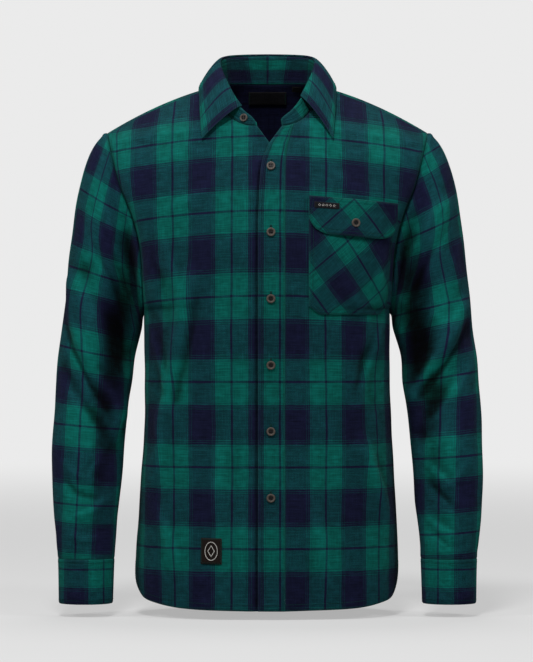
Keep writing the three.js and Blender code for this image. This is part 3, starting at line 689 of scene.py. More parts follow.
def make_piece(name, spots, faces, finish, node, slot="flannel"):
    """One piece of the shirt, which stands for a node of the solids."""
    mesh = bpy.data.meshes.new(name)
    mesh.from_pydata((np.asarray(spots) * 0.001).tolist(), [], [list(face) for face in faces])
    mesh.materials.append(finish)
    mesh.shade_smooth()
    piece = link(name, mesh)
    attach(piece, "root")
    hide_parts(node)
    return piece


def link(name, data):
    """A new object in the scene."""
    found = bpy.data.objects.new(name, data)
    bpy.context.scene.collection.objects.link(found)
    return found


def add_values(piece, name, kind, key, values):
    layer = piece.data.attributes.new(name, kind, "POINT")
    layer.data.foreach_set(key, np.ascontiguousarray(values, np.float32).ravel())


def shell(
    node, grid, cloth, thick, finish, closed=False, outward=1, lined=None, sunk=0, slot="flannel"
):
    """A sheet of cloth from a net of outer points, with its inner face and closed edges.

    sunk is how deep each point lies in a wide valley; the colour is darkened there as painted shade."""
    normals = grid_normals(grid, closed) * outward
    near = edge_distance(grid, closed)
    curl = 0.42 * thick * np.exp(-((near / 1.1) ** 2))
    outer = grid - normals * curl[..., None]
    inner = grid - normals * (thick - curl)[..., None]
    count = grid.shape[0] * grid.shape[1]
    index = net_index(*grid.shape[:2], closed)
    face = quads(index)[:, ::outward]
    faces = [face, face[:, ::-1] + count]
    borders = [index[0], index[-1][::-1]]
    if not closed:
        borders += [index[:, -1], index[::-1, 0]]
    for border in borders:
        line = border[::outward]
        start, stop = line[:-1], line[1:]
        faces.append(np.stack([stop, start, start + count, stop + count], -1))
    facts = np.concatenate([cloth, np.minimum(near, 40)[..., None]], -1).reshape(-1, 3)
    within = facts if lined is None else lined(facts)
    spots = np.vstack([outer.reshape(-1, 3), inner.reshape(-1, 3)])
    piece = make_piece(f"shirt_{node}", spots, np.vstack(faces), finish, node, slot)
    add_values(piece, "cloth", "FLOAT_VECTOR", "vector", np.vstack([facts, within]))
    # Painted light and shade: proud lightens the colour on ridges and darkens it in creases, and sunk
    # darkens the sleeves' valleys beside the body.
    proud = (np.maximum(relief(grid, normals, near, closed), -1.2) - 0.1 * sunk).ravel()
    add_values(piece, "proud", "FLOAT", "value", np.concatenate([proud, -proud]))
    piece_grid[node] = np.concatenate([outer, normals], -1)


def relief(grid, normals, near, closed):
    """How far each point stands out of its surroundings: ridges above 0, hollows below. The cloth's
    colour takes it as painted light on ridges and painted shade in hollows.
    """
    rows, columns = (np.arange(count) for count in grid.shape[:2])
    found = 0
    for step, share in ((2, 0.6), (6, 0.4)):
        before, after = columns - step, columns + step
        if closed:
            after = after % len(columns)
        else:
            before, after = np.maximum(before, 0), np.minimum(after, columns[-1])
        over = grid[:, before] + grid[:, after]
        up = grid[np.maximum(rows - step, 0)] + grid[np.minimum(rows + step, rows[-1])]
        found = found + share * np.sum((grid - (over + up) / 4) * normals, axis=-1)
    return found * smoothstep(near, 0, 12)


# Finishes
GREEN = (0.060, 0.368, 0.336)
NAVY = (0.106, 0.116, 0.208)
WARP_STRIPES = [0, 1.3, 19.7, 20.1, 22.3, 24.3, 24.65, 26.9, 27.2]
WEFT_STRIPES = [0, 1.4, 28.3, 28.7, 31.0, 33.5, 33.9, 36.4, 36.75]
TWILL_PITCH = 1.25
# From a button's middle to its holes, each way
HOLE_PLACE = 1.26


class Signal:
    """A value in a node tree. + - * and / add a math node."""

    def __init__(self, nodes, socket):
        self.nodes = nodes
        self.socket = socket

    def __add__(self, other):
        return self.nodes.math("ADD", self, other)

    def __sub__(self, other):
        return self.nodes.math("SUBTRACT", self, other)

    def __mul__(self, other):
        return self.nodes.math("MULTIPLY", self, other)

    def __truediv__(self, other):
        return self.nodes.math("DIVIDE", self, other)


class Nodes:
    """Short calls to build a material's node tree."""

    def __init__(self, name):
        self.material = bpy.data.materials.new(name)
        self.material.use_nodes = True
        self.tree = self.material.node_tree
        self.shader = self.tree.nodes["Principled BSDF"]

    def put(self, kind, settings=None, **inputs):
        node = self.tree.nodes.new(kind)
        for key, setting in (settings or {}).items():
            setattr(node, key, setting)
        for key, given in inputs.items():
            self.feed(node.inputs[key.replace("_", " ")], given)
        return node

    def feed(self, socket, given):
        if isinstance(given, Signal):
            given = given.socket
        if isinstance(given, bpy.types.NodeSocket):
            self.tree.links.new(given, socket)
        else:
            socket.default_value = given

    def signal(self, kind, output, settings=None, **inputs):
        return Signal(self, self.put(kind, settings, **inputs).outputs[output])

    def math(self, operation, *given):
        node = self.put("ShaderNodeMath", {"operation": operation})
        for socket, part in zip(node.inputs, given):
            self.feed(socket, part)
        return Signal(self, node.outputs[0])

    def mix(self, share, first, second, mode="MIX"):
        node = self.put("ShaderNodeMix", {"data_type": "RGBA", "blend_type": mode})
        for place, given in ((0, share), (6, first), (7, second)):
            self.feed(node.inputs[place], given)
        return Signal(self, node.outputs[2])

    def noise(self, vector, scale, detail=2.0):
        return self.signal("ShaderNodeTexNoise", 0, Vector=vector, Scale=scale, Detail=detail)

    def vector(self, x, y, z=0.0):
        return self.signal("ShaderNodeCombineXYZ", 0, X=x, Y=y, Z=z)

    def bell(self, at, wide):
        """1 at 0, and close to 0 beyond twice the width."""
        share = at / wide
        return self.math("EXPONENT", share * share * -1.0)

    def ramp(self, at, low, high):
        """Smooth rise from 0 to 1."""
        settings = {"interpolation_type": "SMOOTHSTEP"}
        return self.signal("ShaderNodeMapRange", 0, settings, Value=at, From_Min=low, From_Max=high)

    def cloth(self):
        """The cloth attribute, whole and in its three parts."""
        whole = self.signal("ShaderNodeAttribute", "Vector", {"attribute_name": "cloth"})
        parts = self.put("ShaderNodeSeparateXYZ", Vector=whole).outputs
        return whole, *(Signal(self, part) for part in parts)

    def surface(self, height, strength, depth, **values):
        """The finished material: bump from a height, and the shader's other inputs."""
        values["Normal"] = self.signal(
            "ShaderNodeBump", 0, Strength=strength, Distance=depth, Height=height
        )
        for name, given in values.items():
            self.feed(self.shader.inputs[name.replace("_", " ")], given)
        return self.material


def stripes(nodes, place, repeat, edges):
    """Navy and green threads in turn, both ways from the navy line in a green stripe's middle."""
    half = repeat / 2
    ramp = nodes.put("ShaderNodeValToRGB")
    nodes.feed(ramp.inputs[0], nodes.math("PINGPONG", place, half) / half)
    ramp.color_ramp.interpolation = "CONSTANT"
    points = ramp.color_ramp.elements
    while len(points) > 1:
        points.remove(points[-1])
    for i, edge in enumerate(edges):
        point = points.new(edge / half) if i else points[0]
        point.position = edge / half
        point.color = (*(GREEN if i % 2 else NAVY), 1)
    return Signal(nodes, ramp.outputs[0])


def flannel(name, stitched=()):
    """Brushed cotton twill in the check. stitched holds distances of stitching from an edge."""
    n = Nodes(name)
    place, u, v, edge = n.cloth()
    flat = n.vector(u, v)
    waver = (n.noise(place, 0.035) - 0.5) * 1.6
    warp = stripes(n, u + waver, WARP_REPEAT, WARP_STRIPES)
    weft = stripes(n, v + waver, WEFT_REPEAT, WEFT_STRIPES)
    twill = n.math("SINE", (u + v) * (2 * math.pi / TWILL_PITCH))
    colour = n.mix(twill * 0.32 + 0.5, warp, weft)
    across = n.noise(n.vector(u * 1.3, v * 0.035), 1)
    upward = n.noise(n.vector(u * 0.035, v * 1.3), 1)
    slubs = across * 0.45 + upward * 0.85 + n.noise(flat, 0.09, 4) * 0.4
    # Painted light and shade from the proud attribute: ridges lighter as a painted highlight, creases
    # and valleys darker as painted shade.
    proud = n.signal("ShaderNodeAttribute", "Fac", {"attribute_name": "proud"})
    painted_ridge_highlight = n.math("MINIMUM", n.math("MAXIMUM", proud, 0), 0.9) * 0.16
    painted_crease_shade = n.math("MAXIMUM", n.math("MINIMUM", proud, 0), -2.8) * 0.25
    shade = slubs + (painted_ridge_highlight + painted_crease_shade + 0.13)
    colour = n.mix(1.0, colour, n.vector(shade, shade, shade), "MULTIPLY")
    worn = n.math("EXPONENT", edge * -0.9) * 0.28
    colour = n.mix(worn, colour, (0.25, 0.50, 0.46, 1))
    colour = n.signal("ShaderNodeGamma", 0, Color=colour, Gamma=2.2)
    height = twill * 0.10 + n.noise(flat, 2.2, 3) * 0.34
    height = height + (across + upward) * 0.16 + n.noise(flat, 0.16, 3) * 1.1
    for away in stitched:
        pucker = n.noise(flat, 0.45, 1) * n.bell(edge - away, 5.0)
        height = height - n.bell(edge - away, 0.9) * 0.5 + pucker * 0.9
    return n.surface(
        height,
        0.85,
        0.001,
        Base_Color=colour,
        Roughness=0.92,
        Specular_IOR_Level=0.08,
        Sheen_Weight=0.025,
        Sheen_Roughness=0.45,
        Sheen_Tint=(0.6, 0.85, 0.8, 1),
    )


def thread(name, colour):
    n = Nodes(name)
    grain = n.noise(n.signal("ShaderNodeTexCoord", "Object"), 900)
    dark, light = ((*(part * lift for part in colour), 1) for lift in (0.7, 1.35))
    tone = n.mix(grain, dark, light)
    return n.surface(grain, 0.4, 0.0003, Base_Color=tone, Roughness=0.8, Specular_IOR_Level=0.12)


def button_finish():
    """Grey-brown with a darker dished middle. Attribute cloth holds the place and the radius."""
    n = Nodes("button_brown")
    place, x, y, radius = n.cloth()
    swirl = n.noise(place, 0.55, 4)
    rim = n.mix(swirl, (0.040, 0.031, 0.026, 1), (0.13, 0.105, 0.088, 1))
    middle = n.mix(swirl, (0.008, 0.007, 0.006, 1), (0.030, 0.023, 0.019, 1))
    colour = n.mix(n.ramp(radius, 3.0, 3.9), middle, rim)
    aside = n.math("ABSOLUTE", x) - HOLE_PLACE
    above = n.math("ABSOLUTE", y) - HOLE_PLACE
    # The holes are coloured near black as painted shade in the holes.
    hole_painted_shade = n.math("LESS_THAN", aside * aside + above * above, 0.6)
    colour = n.mix(hole_painted_shade, colour, (0.001, 0.001, 0.001, 1))
    scratch = n.noise(n.vector(x * 0.3, y * 4), 1, 3)
    rough = swirl * 0.2 + 0.34
    return n.surface(scratch, 0.25, 0.0002, Base_Color=colour, Roughness=rough, Specular_IOR_Level=0.3)


def woven(name, dark, light, pitch=0.5):
    """Close plain weave of a label or patch."""
    n = Nodes(name)
    place, u, v, edge = n.cloth()
    over, up = (n.math("SINE", at * (2 * math.pi / pitch)) for at in (u, v))
    weave = over * up * 0.5 + 0.5
    cloudy = n.noise(n.vector(u, v), 0.4, 3)
    tone = n.mix((weave + cloudy) * 0.5, (*dark, 1), (*light, 1))
    worn = n.math("EXPONENT", edge * -1.6) * 0.3
    tone = n.mix(worn, tone, (0.05, 0.047, 0.044, 1))
    return n.surface(weave, 0.5, 0.0004, Base_Color=tone, Roughness=0.8, Specular_IOR_Level=0.1)


panel = flannel("flannel")
edged = flannel("flannel_topstitched", stitched=(5.5,))
hemmed = flannel("flannel_pocket", stitched=(1.8, 6.5))
thread_dark = thread("thread_navy", (0.006, 0.010, 0.016))
thread_green = thread("thread_green", (0.005, 0.050, 0.044))
thread_pale = thread("thread_pale", (0.82, 0.79, 0.74))
brown = button_finish()
label_black = woven("label_black", (0.0045, 0.0045, 0.006), (0.014, 0.014, 0.017))
patch_brown = woven("patch_brown", (0.006, 0.0038, 0.0032), (0.019, 0.012, 0.010), 0.9)


# Body and yoke
FRONT_WIDE = {1: 226, -1: 250}
BACK_HALF_WIDE = 228
# How far a green stripe's middle is from the centre
FRONT_PHASE = {1: 79.5, -1: 48.6}


def body_cloth(spots, u, phase):
    """Cloth coordinates of the body. phase puts a green middle at that distance from the centre."""
    z = spots[..., 2]
    lean = np.clip(np.abs(u) / 215, 0, 1) ** 1.7
    v = value(LINE_HEIGHTS, "v", z + value(SIDE_DROOP, "down", z) * lean)
    return np.stack([u - phase, v], -1)


def front_grid(side):
    shares = stops(FRONT_WIDE[side], PITCH)
    row = right_row if side < 0 else lambda t: front_row(1, t)
    lines = [opened(row, t, shares) for t in FRONT_HEIGHTS]
    grid = np.stack(lines)
    u = reach(grid, 1)
    from_arm = u[:, -1:] - u
    u = u + side * grid[:, :1, 0]
    hold = np.where(FRONT_HEIGHTS[:, None] > UNDERARM_Z, smoothstep(from_arm, 0, 30), 1)
    top = smoothstep(-FRONT_HEIGHTS[:, None], 0, 30)
    grid = drape(grid, hold * top)
    if side < 0:
        beside = grid[..., 0] - value(OPEN_NECK, "free", grid[..., 2]) + 0.6
        sunk = np.exp(-((beside / 3.4) ** 2)) * smoothstep(-grid[..., 2], 96, 125)
        grid[..., 1] += PLACKET_GAP * sunk
    return grid, u


for name, side in SIDES:
    grid, u = front_grid(side)
    cloth = body_cloth(grid, u, FRONT_PHASE[side])
    shell(f"front_{name}", grid, cloth, CLOTH, panel, outward=side)

back_shares = np.concatenate([[0], stops(BACK_HALF_WIDE, PITCH)[3:]])
back_halves = []
for side in (1, -1):
    grid = np.stack([along(back_row(side, t), back_shares) for t in BACK_HEIGHTS])
    u = reach(grid, 1)
    hold = np.where(BACK_HEIGHTS[:, None] > UNDERARM_Z, smoothstep(u[:, -1:] - u, 0, 30), 1)
    hold = hold * smoothstep(YOKE_Z - BACK_HEIGHTS[:, None], 0, 20)
    back_halves.append((drape(grid, hold), u))
(left_half, left_u), (right_half, right_u) = back_halves
back_grid = np.hstack([left_half[:, ::-1], right_half[:, 1:]])
back_u = np.hstack([-left_u[:, ::-1], right_u[:, 1:]])
shell("back", back_grid, body_cloth(back_grid, back_u, 0), CLOTH, panel)


def yoke_point(side, step, share):
    """Points of the yoke: step round from the front seam to the centre back, share inward."""
    angle = np.interp(step, range(YOKE_ARM_STEPS + 1), YOKE_ARM_ANGLES)
    outer = armhole_at(side, angle)
    seam = back_row(side, YOKE_Z)
    past = np.clip(1 - (step - YOKE_ARM_STEPS) / (YOKE_STEPS - YOKE_ARM_STEPS), 0, 1)
    outer = np.where((step > YOKE_ARM_STEPS)[:, None], along(seam, past), outer)
    inner = neck_at(side, lerp(SHOULDER_NECK, 1, step / YOKE_STEPS))
    proud_y = value(YOKE_PROUD, "y", step / YOKE_STEPS)
    proud_z = value(YOKE_PROUD, "z", step / YOKE_STEPS)
    bulge = 4 * share * (1 - share)
    proud = np.stack([0 * proud_y, proud_y, proud_z], 1) * bulge
    return lerp(outer, inner, share) + proud


yoke_steps = np.concatenate([[0, 0.03, 0.08], np.arange(1, 79) * (YOKE_STEPS / 79), [YOKE_STEPS]])
yoke_halves = [
    np.stack([yoke_point(side, yoke_steps, share) for share in stops(150, PITCH)]) for side in (1, -1)
]
yoke_grid = np.hstack([yoke_halves[0], yoke_halves[1][:, ::-1][:, 1:]])
yoke_fall = yoke_grid[..., 2] * smoothstep(yoke_grid[..., 1], 10, 60)
yoke_cloth = np.stack([yoke_grid[..., 0] - 20, 1.1 * (yoke_grid[..., 1] - yoke_fall) - 20], -1)


def navy_lining_painted_shade(facts):
    """Cloth places kept inside the navy of the check, for the lining of the yoke: a plain navy inner
    face chosen as painted shade inside the neck.
    """
    u, v, edge = facts.T
    plain_u = WARP_REPEAT / 2 + 9 * np.sin(u / 9)
    return np.stack([plain_u, WEFT_REPEAT / 2 + 14 * np.sin(v / 14), edge], 1)


# The yoke's inner face is plain navy: painted shade inside the neck.
shell("yoke", yoke_grid, yoke_cloth, CLOTH, panel, lined=navy_lining_painted_shade)


# Sleeves and cuffs


def tube_point(side, angle, z):
    turn = np.radians(angle)
    power = 2 / SLEEVE_ROUND
    across = np.sign(np.cos(turn)) * np.abs(np.cos(turn)) ** power
    forth = np.sign(np.sin(turn)) * np.abs(np.sin(turn)) ** power
    x = value(SLEEVE, "middle", z) + value(SLEEVE, "half", z) * across
    y = value(SLEEVE, "y", z) + value(SLEEVE, "deep", z) * forth
    return np.stack([side * x, y, z + 0 * x], -1)


def cap_point(side, angle, s):
    start = armhole_at(side, angle)
    end = tube_point(side, angle, SLEEVE_TUBE_Z)
    around, face = np.abs(angle), np.sign(angle)
    leave = [value(SLEEVE_START, way, around) for way in ("out", "side", "down")]
    leave = np.stack([side * leave[0], face * leave[1], -leave[2]], -1)
    below = tube_point(side, angle, SLEEVE_TUBE_Z - 10)
    arrive = (below - end) * (0.092 * (start[..., 2:] - end[..., 2:]))
    return hermite(start, leave, end, arrive, s)


def sleeve_out(side, spots):
    z = np.minimum(spots[..., 2], SLEEVE_TUBE_Z)
    middle_x = side * value(SLEEVE, "middle", z)
    middle_y = value(SLEEVE, "y", z)
    out = np.stack([spots[..., 0] - middle_x, spots[..., 1] - middle_y, 0 * z], -1)
    return unit(out)


SLEEVE_ANGLES = np.linspace(-180, 180, 113)[:-1]


def valley_depth(side, spots, free):
    """How far the sleeve's front falls back beside the body."""
    out = sleeve_out(side, spots)
    wide, deep, *line = VALLEY[side]
    away, share = nearest(side * spots[..., 0], spots[..., 2], line)
    taper = np.sin(np.pi * np.clip(share, 0.03, 0.97)) ** 0.5
    taper = taper * (0.45 + 0.55 * smoothstep(spots[..., 2], -470, -380))
    ahead = smoothstep(-out[..., 1], -0.25, 0.35) * smoothstep(spots[..., 2], -638, -590)
    return deep * taper * np.exp(-((away / wide) ** 2)) * ahead * free


def sleeve_relief(side, spots, angles, free=1.0):
    """Sleeve cloth with its folds. free is 0 at the armhole, where the seam holds the cloth."""
    out = sleeve_out(side, spots)
    z = spots[..., 2]
    sunk = valley_depth(side, spots, free)
    spots = spots + np.stack([0 * sunk, sunk, 0 * sunk], -1)
    gather = smoothstep(z, -560, -636) * np.exp(-(((angles - 60) / 70) ** 2))
    pleats = 1.5 * gather * np.sin(np.radians(angles) * 11 + 0.4 * np.sin(z / 19))
    wave = 0.5 * np.sin(z / 23 + np.radians(angles) * 2 + side) * smoothstep(z, -130, -260)
    wave += 0.35 * np.sin(z / 13 + np.radians(angles) * 3 - side)
    held = smoothstep(-z, 60, 150) * smoothstep(z, -643, -628)
    small = fold_move(spots, out, SLEEVE_CREASES[side], True) + wave + pleats
    move = fold_move(spots, out, SLEEVE_FOLDS[side]) + small * free
    return spots + out * (move * np.clip(held, 0, 1))[..., None]


def around_from_line(side, grid):
    """Length round each ring, from where the thin line runs down the front of the sleeve."""
    done = reach(grid, 1)
    front = (SLEEVE_ANGLES > -172) & (SLEEVE_ANGLES < -8)
    u = np.empty(grid.shape[:2])
    for r, row in enumerate(grid):
        aside = side * row[front, 0] - value(SLEEVE_LINE[side], "x", row[front, 2])
        u[r] = done[r] - np.interp(0, aside, done[r, front])
    return u


def sleeve_cloth(side, grid, tilt=1.0):
    z = grid[..., 2]
    middle = value(SLEEVE, "middle", np.minimum(z, SLEEVE_TUBE_Z))
    lean = value(SLEEVE_LEAN, "lean", z) * tilt
    level = z - lean * (side * grid[..., 0] - middle)
    return np.stack([around_from_line(side, grid), value(SLEEVE_HEIGHTS[side], "v", level)], -1)


CUFF_LINE_Z = -657
cuff_rows = spaced(CUFF_BOTTOM_Z, CUFF_TOP_Z, PITCH)
for name, side in SIDES:
    tube = spaced(CUFF_TOP_Z, SLEEVE_TUBE_Z, PITCH)[:-3]
    rows = [tube_point(side, SLEEVE_ANGLES, z) for z in tube]
    caps = np.concatenate([np.linspace(1, 0.01, 66), [0.005, 0]])
    grid = np.stack(rows + [cap_point(side, SLEEVE_ANGLES, s) for s in caps])
    cloth = sleeve_cloth(side, grid)
    below_seam = reach(grid[::-1])[::-1]
    free = smoothstep(below_seam, 0, 22)
    # sunk darkens the sleeve's colour in the valley beside the body as painted shade.
    sunk = valley_depth(side, grid, free)
    grid = sleeve_relief(side, grid, SLEEVE_ANGLES, free)
    head = SEAM_RIDGE * np.exp(-(((below_seam - RIDGE_FROM_SEAM) / RIDGE_WIDE) ** 2))
    grid = grid + grid_normals(grid, True) * (side * head)[..., None]
    shell(f"sleeve_{name}", grid, cloth, CLOTH, panel, closed=True, outward=side, sunk=sunk)
    cuff = np.stack([tube_point(side, SLEEVE_ANGLES, z) for z in cuff_rows])
    cuff_cloth = sleeve_cloth(side, cuff, 0.5)
    cuff_cloth[..., 0] += 0 if side > 0 else WARP_REPEAT / 2
    cuff_cloth[..., 1] = (cuff[..., 2] - CUFF_LINE_Z) * 1.25
    shell(f"cuff_{name}", cuff, cuff_cloth, DOUBLED, edged, closed=True, outward=side)


# Placket


def placket_line(t):
    share = np.linspace(0, 1, 25)
    if t >= NECK_Z:
        spots = neck_at(1, lerp(PLACKET_NECK_START, PLACKET_NECK_END, share))
        return spots - (0, PLACKET_LIFT, 0)
    free, seam = value(OPEN_NECK, "free", t), value(OPEN_NECK, "seam", t)
    if t < UNDERARM_Z:
        ahead = value(TORSO, "front", t)
    else:
        ahead = value(FRONT_ROWS, "reach", t)
    y = value(OPEN_NECK, "back", t) * share**2 - ahead - PLACKET_LIFT
    return np.stack([lerp(free, seam, share), y, t + 0 * share], 1)


placket_rows = FRONT_HEIGHTS[FRONT_HEIGHTS <= NECK_Z]
placket_shares = stops(PLACKET_WIDE, 2.6)
placket_grid = drape(np.stack([opened(placket_line, t, placket_shares) for t in placket_rows]))
placket_u = PLACKET_WIDE * (placket_shares - 1)[None, :] + 24 + 0 * placket_grid[..., 0]
shell("placket", placket_grid, body_cloth(placket_grid, placket_u, 17.3), DOUBLED, edged)


# Collar


def fold_at(side, share):
    share = np.clip(share, 0, 1)
    spots = np.stack([value(FOLD, k, share) for k in "xyz"], -1)
    return spots * (side, 1, 1)


def collar_stops(left_start, right_start):
    """Side and share of columns from the left front end round the neck to the right."""
    left, right = (lerp(s, 1, stops(NECK_LENGTH * (1 - s), 2.6)) for s in (left_start, right_start))
    left, right = left[:-3], right[::-1][3:]
    sides = np.concatenate([np.ones(len(left)), -np.ones(len(right))])
    return sides, np.concatenate([left, right])


stand_sides, stand_shares = collar_stops(PLACKET_NECK_START, 0)
neck_line = np.vstack([neck_at(s, k) for s, k in zip(stand_sides, stand_shares)])
fold_line = np.stack([fold_at(s, k) for s, k in zip(stand_sides, stand_shares)])
stand_ups = stops(36, 2.2)
stand_grid = np.stack([lerp(neck_line, fold_line, up) for up in stand_ups])
round_neck = (1 - stand_shares) * NECK_LENGTH * stand_sides
STAND_BANDS = table("""
high v
0 30
2 31.5
20 84.5
28 98
33 104
34.5 148
41 152
""")
tall = stand_ups[:, None] * np.linalg.norm(fold_line - neck_line, axis=1)[None, :]
stand_cloth = np.stack([np.broadcast_to(round_neck, tall.shape), 3 + tall * 0.6], -1)


def inside_stand(facts):
    """The stand's inner face shows other bands of the check than its outer face."""
    high = (facts[:, 1] - 3) / 0.6
    return np.stack([facts[:, 0], value(STAND_BANDS, "v", high), facts[:, 2]], 1)


shell("collar_stand", stand_grid, stand_cloth, DOUBLED, edged, lined=inside_stand)


def leaf_point(side, share, down):
    fold = fold_at(side, share)
    edge = np.stack([value(LEAF_EDGE, k, share) for k in "xyz"]) * (side, 1, 1)
    up = unit(fold - neck_at(side, share)[0])
    run = fold_at(side, share + 0.01) - fold_at(side, share - 0.01)
    out = unit(np.cross(run, up) * side)
    first = fold - out * 2.2 + up * ROLL_GAP
    second = first + up * ROLL_HIGH + out
    third = lerp(fold, edge, 0.25) + out * ROLL_OUT + (0, 0, 4)
    d = down[:, None]
    curve = (
        first * (1 - d) ** 3
        + second * 3 * d * (1 - d) ** 2
        + third * 3 * d**2 * (1 - d)
        + edge * d**3
    )
    low = lerp(LEAF_EDGE["share"][0], 1, (share - LEAF_START[side]) / (1 - LEAF_START[side]))
    moved = np.stack([value(LEAF_EDGE, k, low) for k in "xyz"]) * (side, 1, 1)
    return curve + (moved - edge) * d**2


leaf_sides, leaf_shares = collar_stops(LEAF_START[1], LEAF_START[-1])
leaf_downs = np.concatenate([[0, 0.006, 0.015], np.linspace(0.03, 0.97, 34), [0.985, 0.993, 1]])
leaf_grid = np.stack(
    [leaf_point(int(s), k, leaf_downs) for s, k in zip(leaf_sides, leaf_shares)], axis=1
)[::-1]
edge_run = reach(leaf_grid[0])
front_run = np.minimum(edge_run, edge_run[-1] - edge_run)
leaf_up = reach(leaf_grid)
leaf_u = np.broadcast_to(front_run * 0.985, leaf_up.shape) - 33
shell("collar_leaf", leaf_grid, np.stack([leaf_u, leaf_up + 18], -1), DOUBLED, edged)


# Pieces laid on the fronts


def chest_surface(side, low, high):
    """Points of a front on an even net of heights and cloth lengths from the centre."""
    heights = np.arange(low, high + 1, CHEST_PITCH)
    lengths = np.arange(26, 214, CHEST_PITCH)
    rows = []
    for t in heights:
        line = front_row(side, t)
        share = (lengths - abs(line[0, 0])) / reach(line)[-1]
        rows.append(along(line, share))
    return heights, lengths, drape(np.stack(rows))


def on_chest(surface, t, length):
    """Point and outward direction on a front at given heights and cloth lengths."""
    heights, lengths, spots = surface
    normals = grid_normals(spots)
    normals = normals * np.sign(-normals[..., 1:2])
    both = np.concatenate([spots, normals], -1)
    r = np.clip((t - heights[0]) / CHEST_PITCH, 0, len(heights) - 1.001)
    c = np.clip((length - lengths[0]) / CHEST_PITCH, 0, len(lengths) - 1.001)
    r0, c0 = r.astype(int), c.astype(int)
    fr, fc = (r - r0)[..., None], (c - c0)[..., None]
    low = lerp(both[r0, c0], both[r0, c0 + 1], fc)
    high = lerp(both[r0 + 1, c0], both[r0 + 1, c0 + 1], fc)
    found = lerp(low, high, fr)
    return found[..., :3], unit(found[..., 3:])


POCKET_FROM = 56
POCKET_WIDE = 126
POCKET_TOP = -150
POCKET_BOTTOM = -309
POCKET_CUT = (16, 12)
FLAP_TOP = -146
FLAP_HIGH = 50
FLAP_CORNER = (30, 24)
POCKET_OUT = 2.25
FLAP_OUT = 4.85
left_chest = chest_surface(1, -345, -110)
right_hem = chest_surface(-1, -690, -560)
pocket_shares = stops(POCKET_WIDE, 2.2)
pocket_near = np.minimum(pocket_shares, 1 - pocket_shares) * POCKET_WIDE
pocket_low = POCKET_BOTTOM + POCKET_CUT[1] * np.maximum(0, 1 - pocket_near / POCKET_CUT[0])


def bias(length, t, rise, fall, origin):
    """Cloth coordinates of a piece cut on the bias. One thin line rises to the right and one falls,
    by these angles, and they meet at the origin. Both ways repeat as the warp does."""
    x, z = length - origin[0], t - origin[1]
    u = x * math.sin(fall) + z * math.cos(fall)
    v = z * math.cos(rise) - x * math.sin(rise)
    return np.stack([u, v * WEFT_REPEAT / WARP_REPEAT], -1)


pocket_up = stops(159, 2.4)[:, None]
pocket_t = lerp(pocket_low[None, :], POCKET_TOP, pocket_up)
pocket_length = POCKET_FROM + POCKET_WIDE * pocket_shares[None, :] + 0 * pocket_t
spots, normals = on_chest(left_chest, pocket_t, pocket_length)
swell = 1.1 * np.sin(math.pi * pocket_shares)[None, :] * np.sin(math.pi * pocket_up) ** 0.7
pocket_grid = spots + normals * (POCKET_OUT + swell)[..., None]
pocket_cloth = bias(pocket_length, pocket_t, 0.74, 0.94, (109, -203.5))
shell("pocket", pocket_grid, pocket_cloth, 1.4, hemmed)

flap_near = np.clip(1 - pocket_near / FLAP_CORNER[0], 0, 1)
flap_low = FLAP_TOP - FLAP_HIGH + FLAP_CORNER[1] * (1 - np.sqrt(1 - flap_near**2))
flap_up = stops(50, 1.6)[:, None]
flap_t = lerp(flap_low[None, :], FLAP_TOP, flap_up)
flap_length = POCKET_FROM + POCKET_WIDE * pocket_shares[None, :] + 0 * flap_t
spots, normals = on_chest(left_chest, flap_t, flap_length)
curling = 1.4 + 1.3 * np.sin(math.pi * (2.6 * pocket_shares + 1.1))
lip = (1 - flap_up) ** 2 * (curling + 1.6 * pocket_shares**3)[None, :]
flap_grid = spots + normals * (FLAP_OUT + 0.8 + lip)[..., None]
flap_cloth = bias(flap_length, flap_t, 0.75, 0.84, (117.5, -146.5))
shell("pocket_flap", flap_grid, flap_cloth, DOUBLED, hemmed)


def lay_label(node, surface, box, out, thick, finish, slot):
    """A small woven rectangle: box is from, to, bottom and top."""
    start, stop, low, high = box
    over = spaced(start, stop, 1.5)[None, :]
    up = spaced(low, high, 1.5)[:, None]
    t, length = up + 0 * over, over + 0 * up
    spots, normals = on_chest(surface, t, length)
    sign = -1 if surface is right_hem else 1
    cloth = np.stack([sign * length, t], -1)
    shell(node, spots + normals * out, cloth, thick, finish, outward=sign, slot=slot)


lay_label("label_flap", left_chest, (63, 97, -162, -154), 6.7, 0.7, label_black, "labels")
lay_label("hem_patch", right_hem, (62, 91, -648, -613), 2.0, 1.2, patch_brown, "patch")


def inside_yoke(down, across):
    """Points of the yoke near the centre back, by share down from the neckline and by x."""
    found = []
    for x in np.atleast_1d(across):
        side = -1 if x < 0 else 1
        steps = np.linspace(6.5, YOKE_STEPS, 80)
        line = yoke_point(side, steps, 1 - down)
        order = np.argsort(np.abs(line[:, 0]))
        near = [np.interp(abs(x), np.abs(line[order, 0]), line[order, k]) for k in (1, 2)]
        found.append((x, *near))
    return np.array(found)


def lay_inside(node, box):
    """A label inside the yoke: box is from, to, and two shares down from the neckline."""
    start, stop, low, high = box
    over = spaced(start, stop, 1.8)
    rows = []
    for down in lerp(low, high, stops(18, 1.2)):
        line = inside_yoke(down, over)
        inward = np.stack([-line[:, 0] * 0.3, -np.abs(line[:, 1]), 0 * over - 20], 1)
        rows.append(line + unit(inward) * 3.2)
    up = np.linspace(0, 24, len(rows))[:, None]
    cloth = np.stack([over[None, :] + 0 * up, up + 0 * over[None, :]], -1)
    shell(node, np.stack(rows), cloth, 0.7, label_black, slot="labels")


lay_inside("label_neck", (-27, 27, 0.27, 0.1))
lay_inside("label_size", (35, 48, 0.1, 0.03))

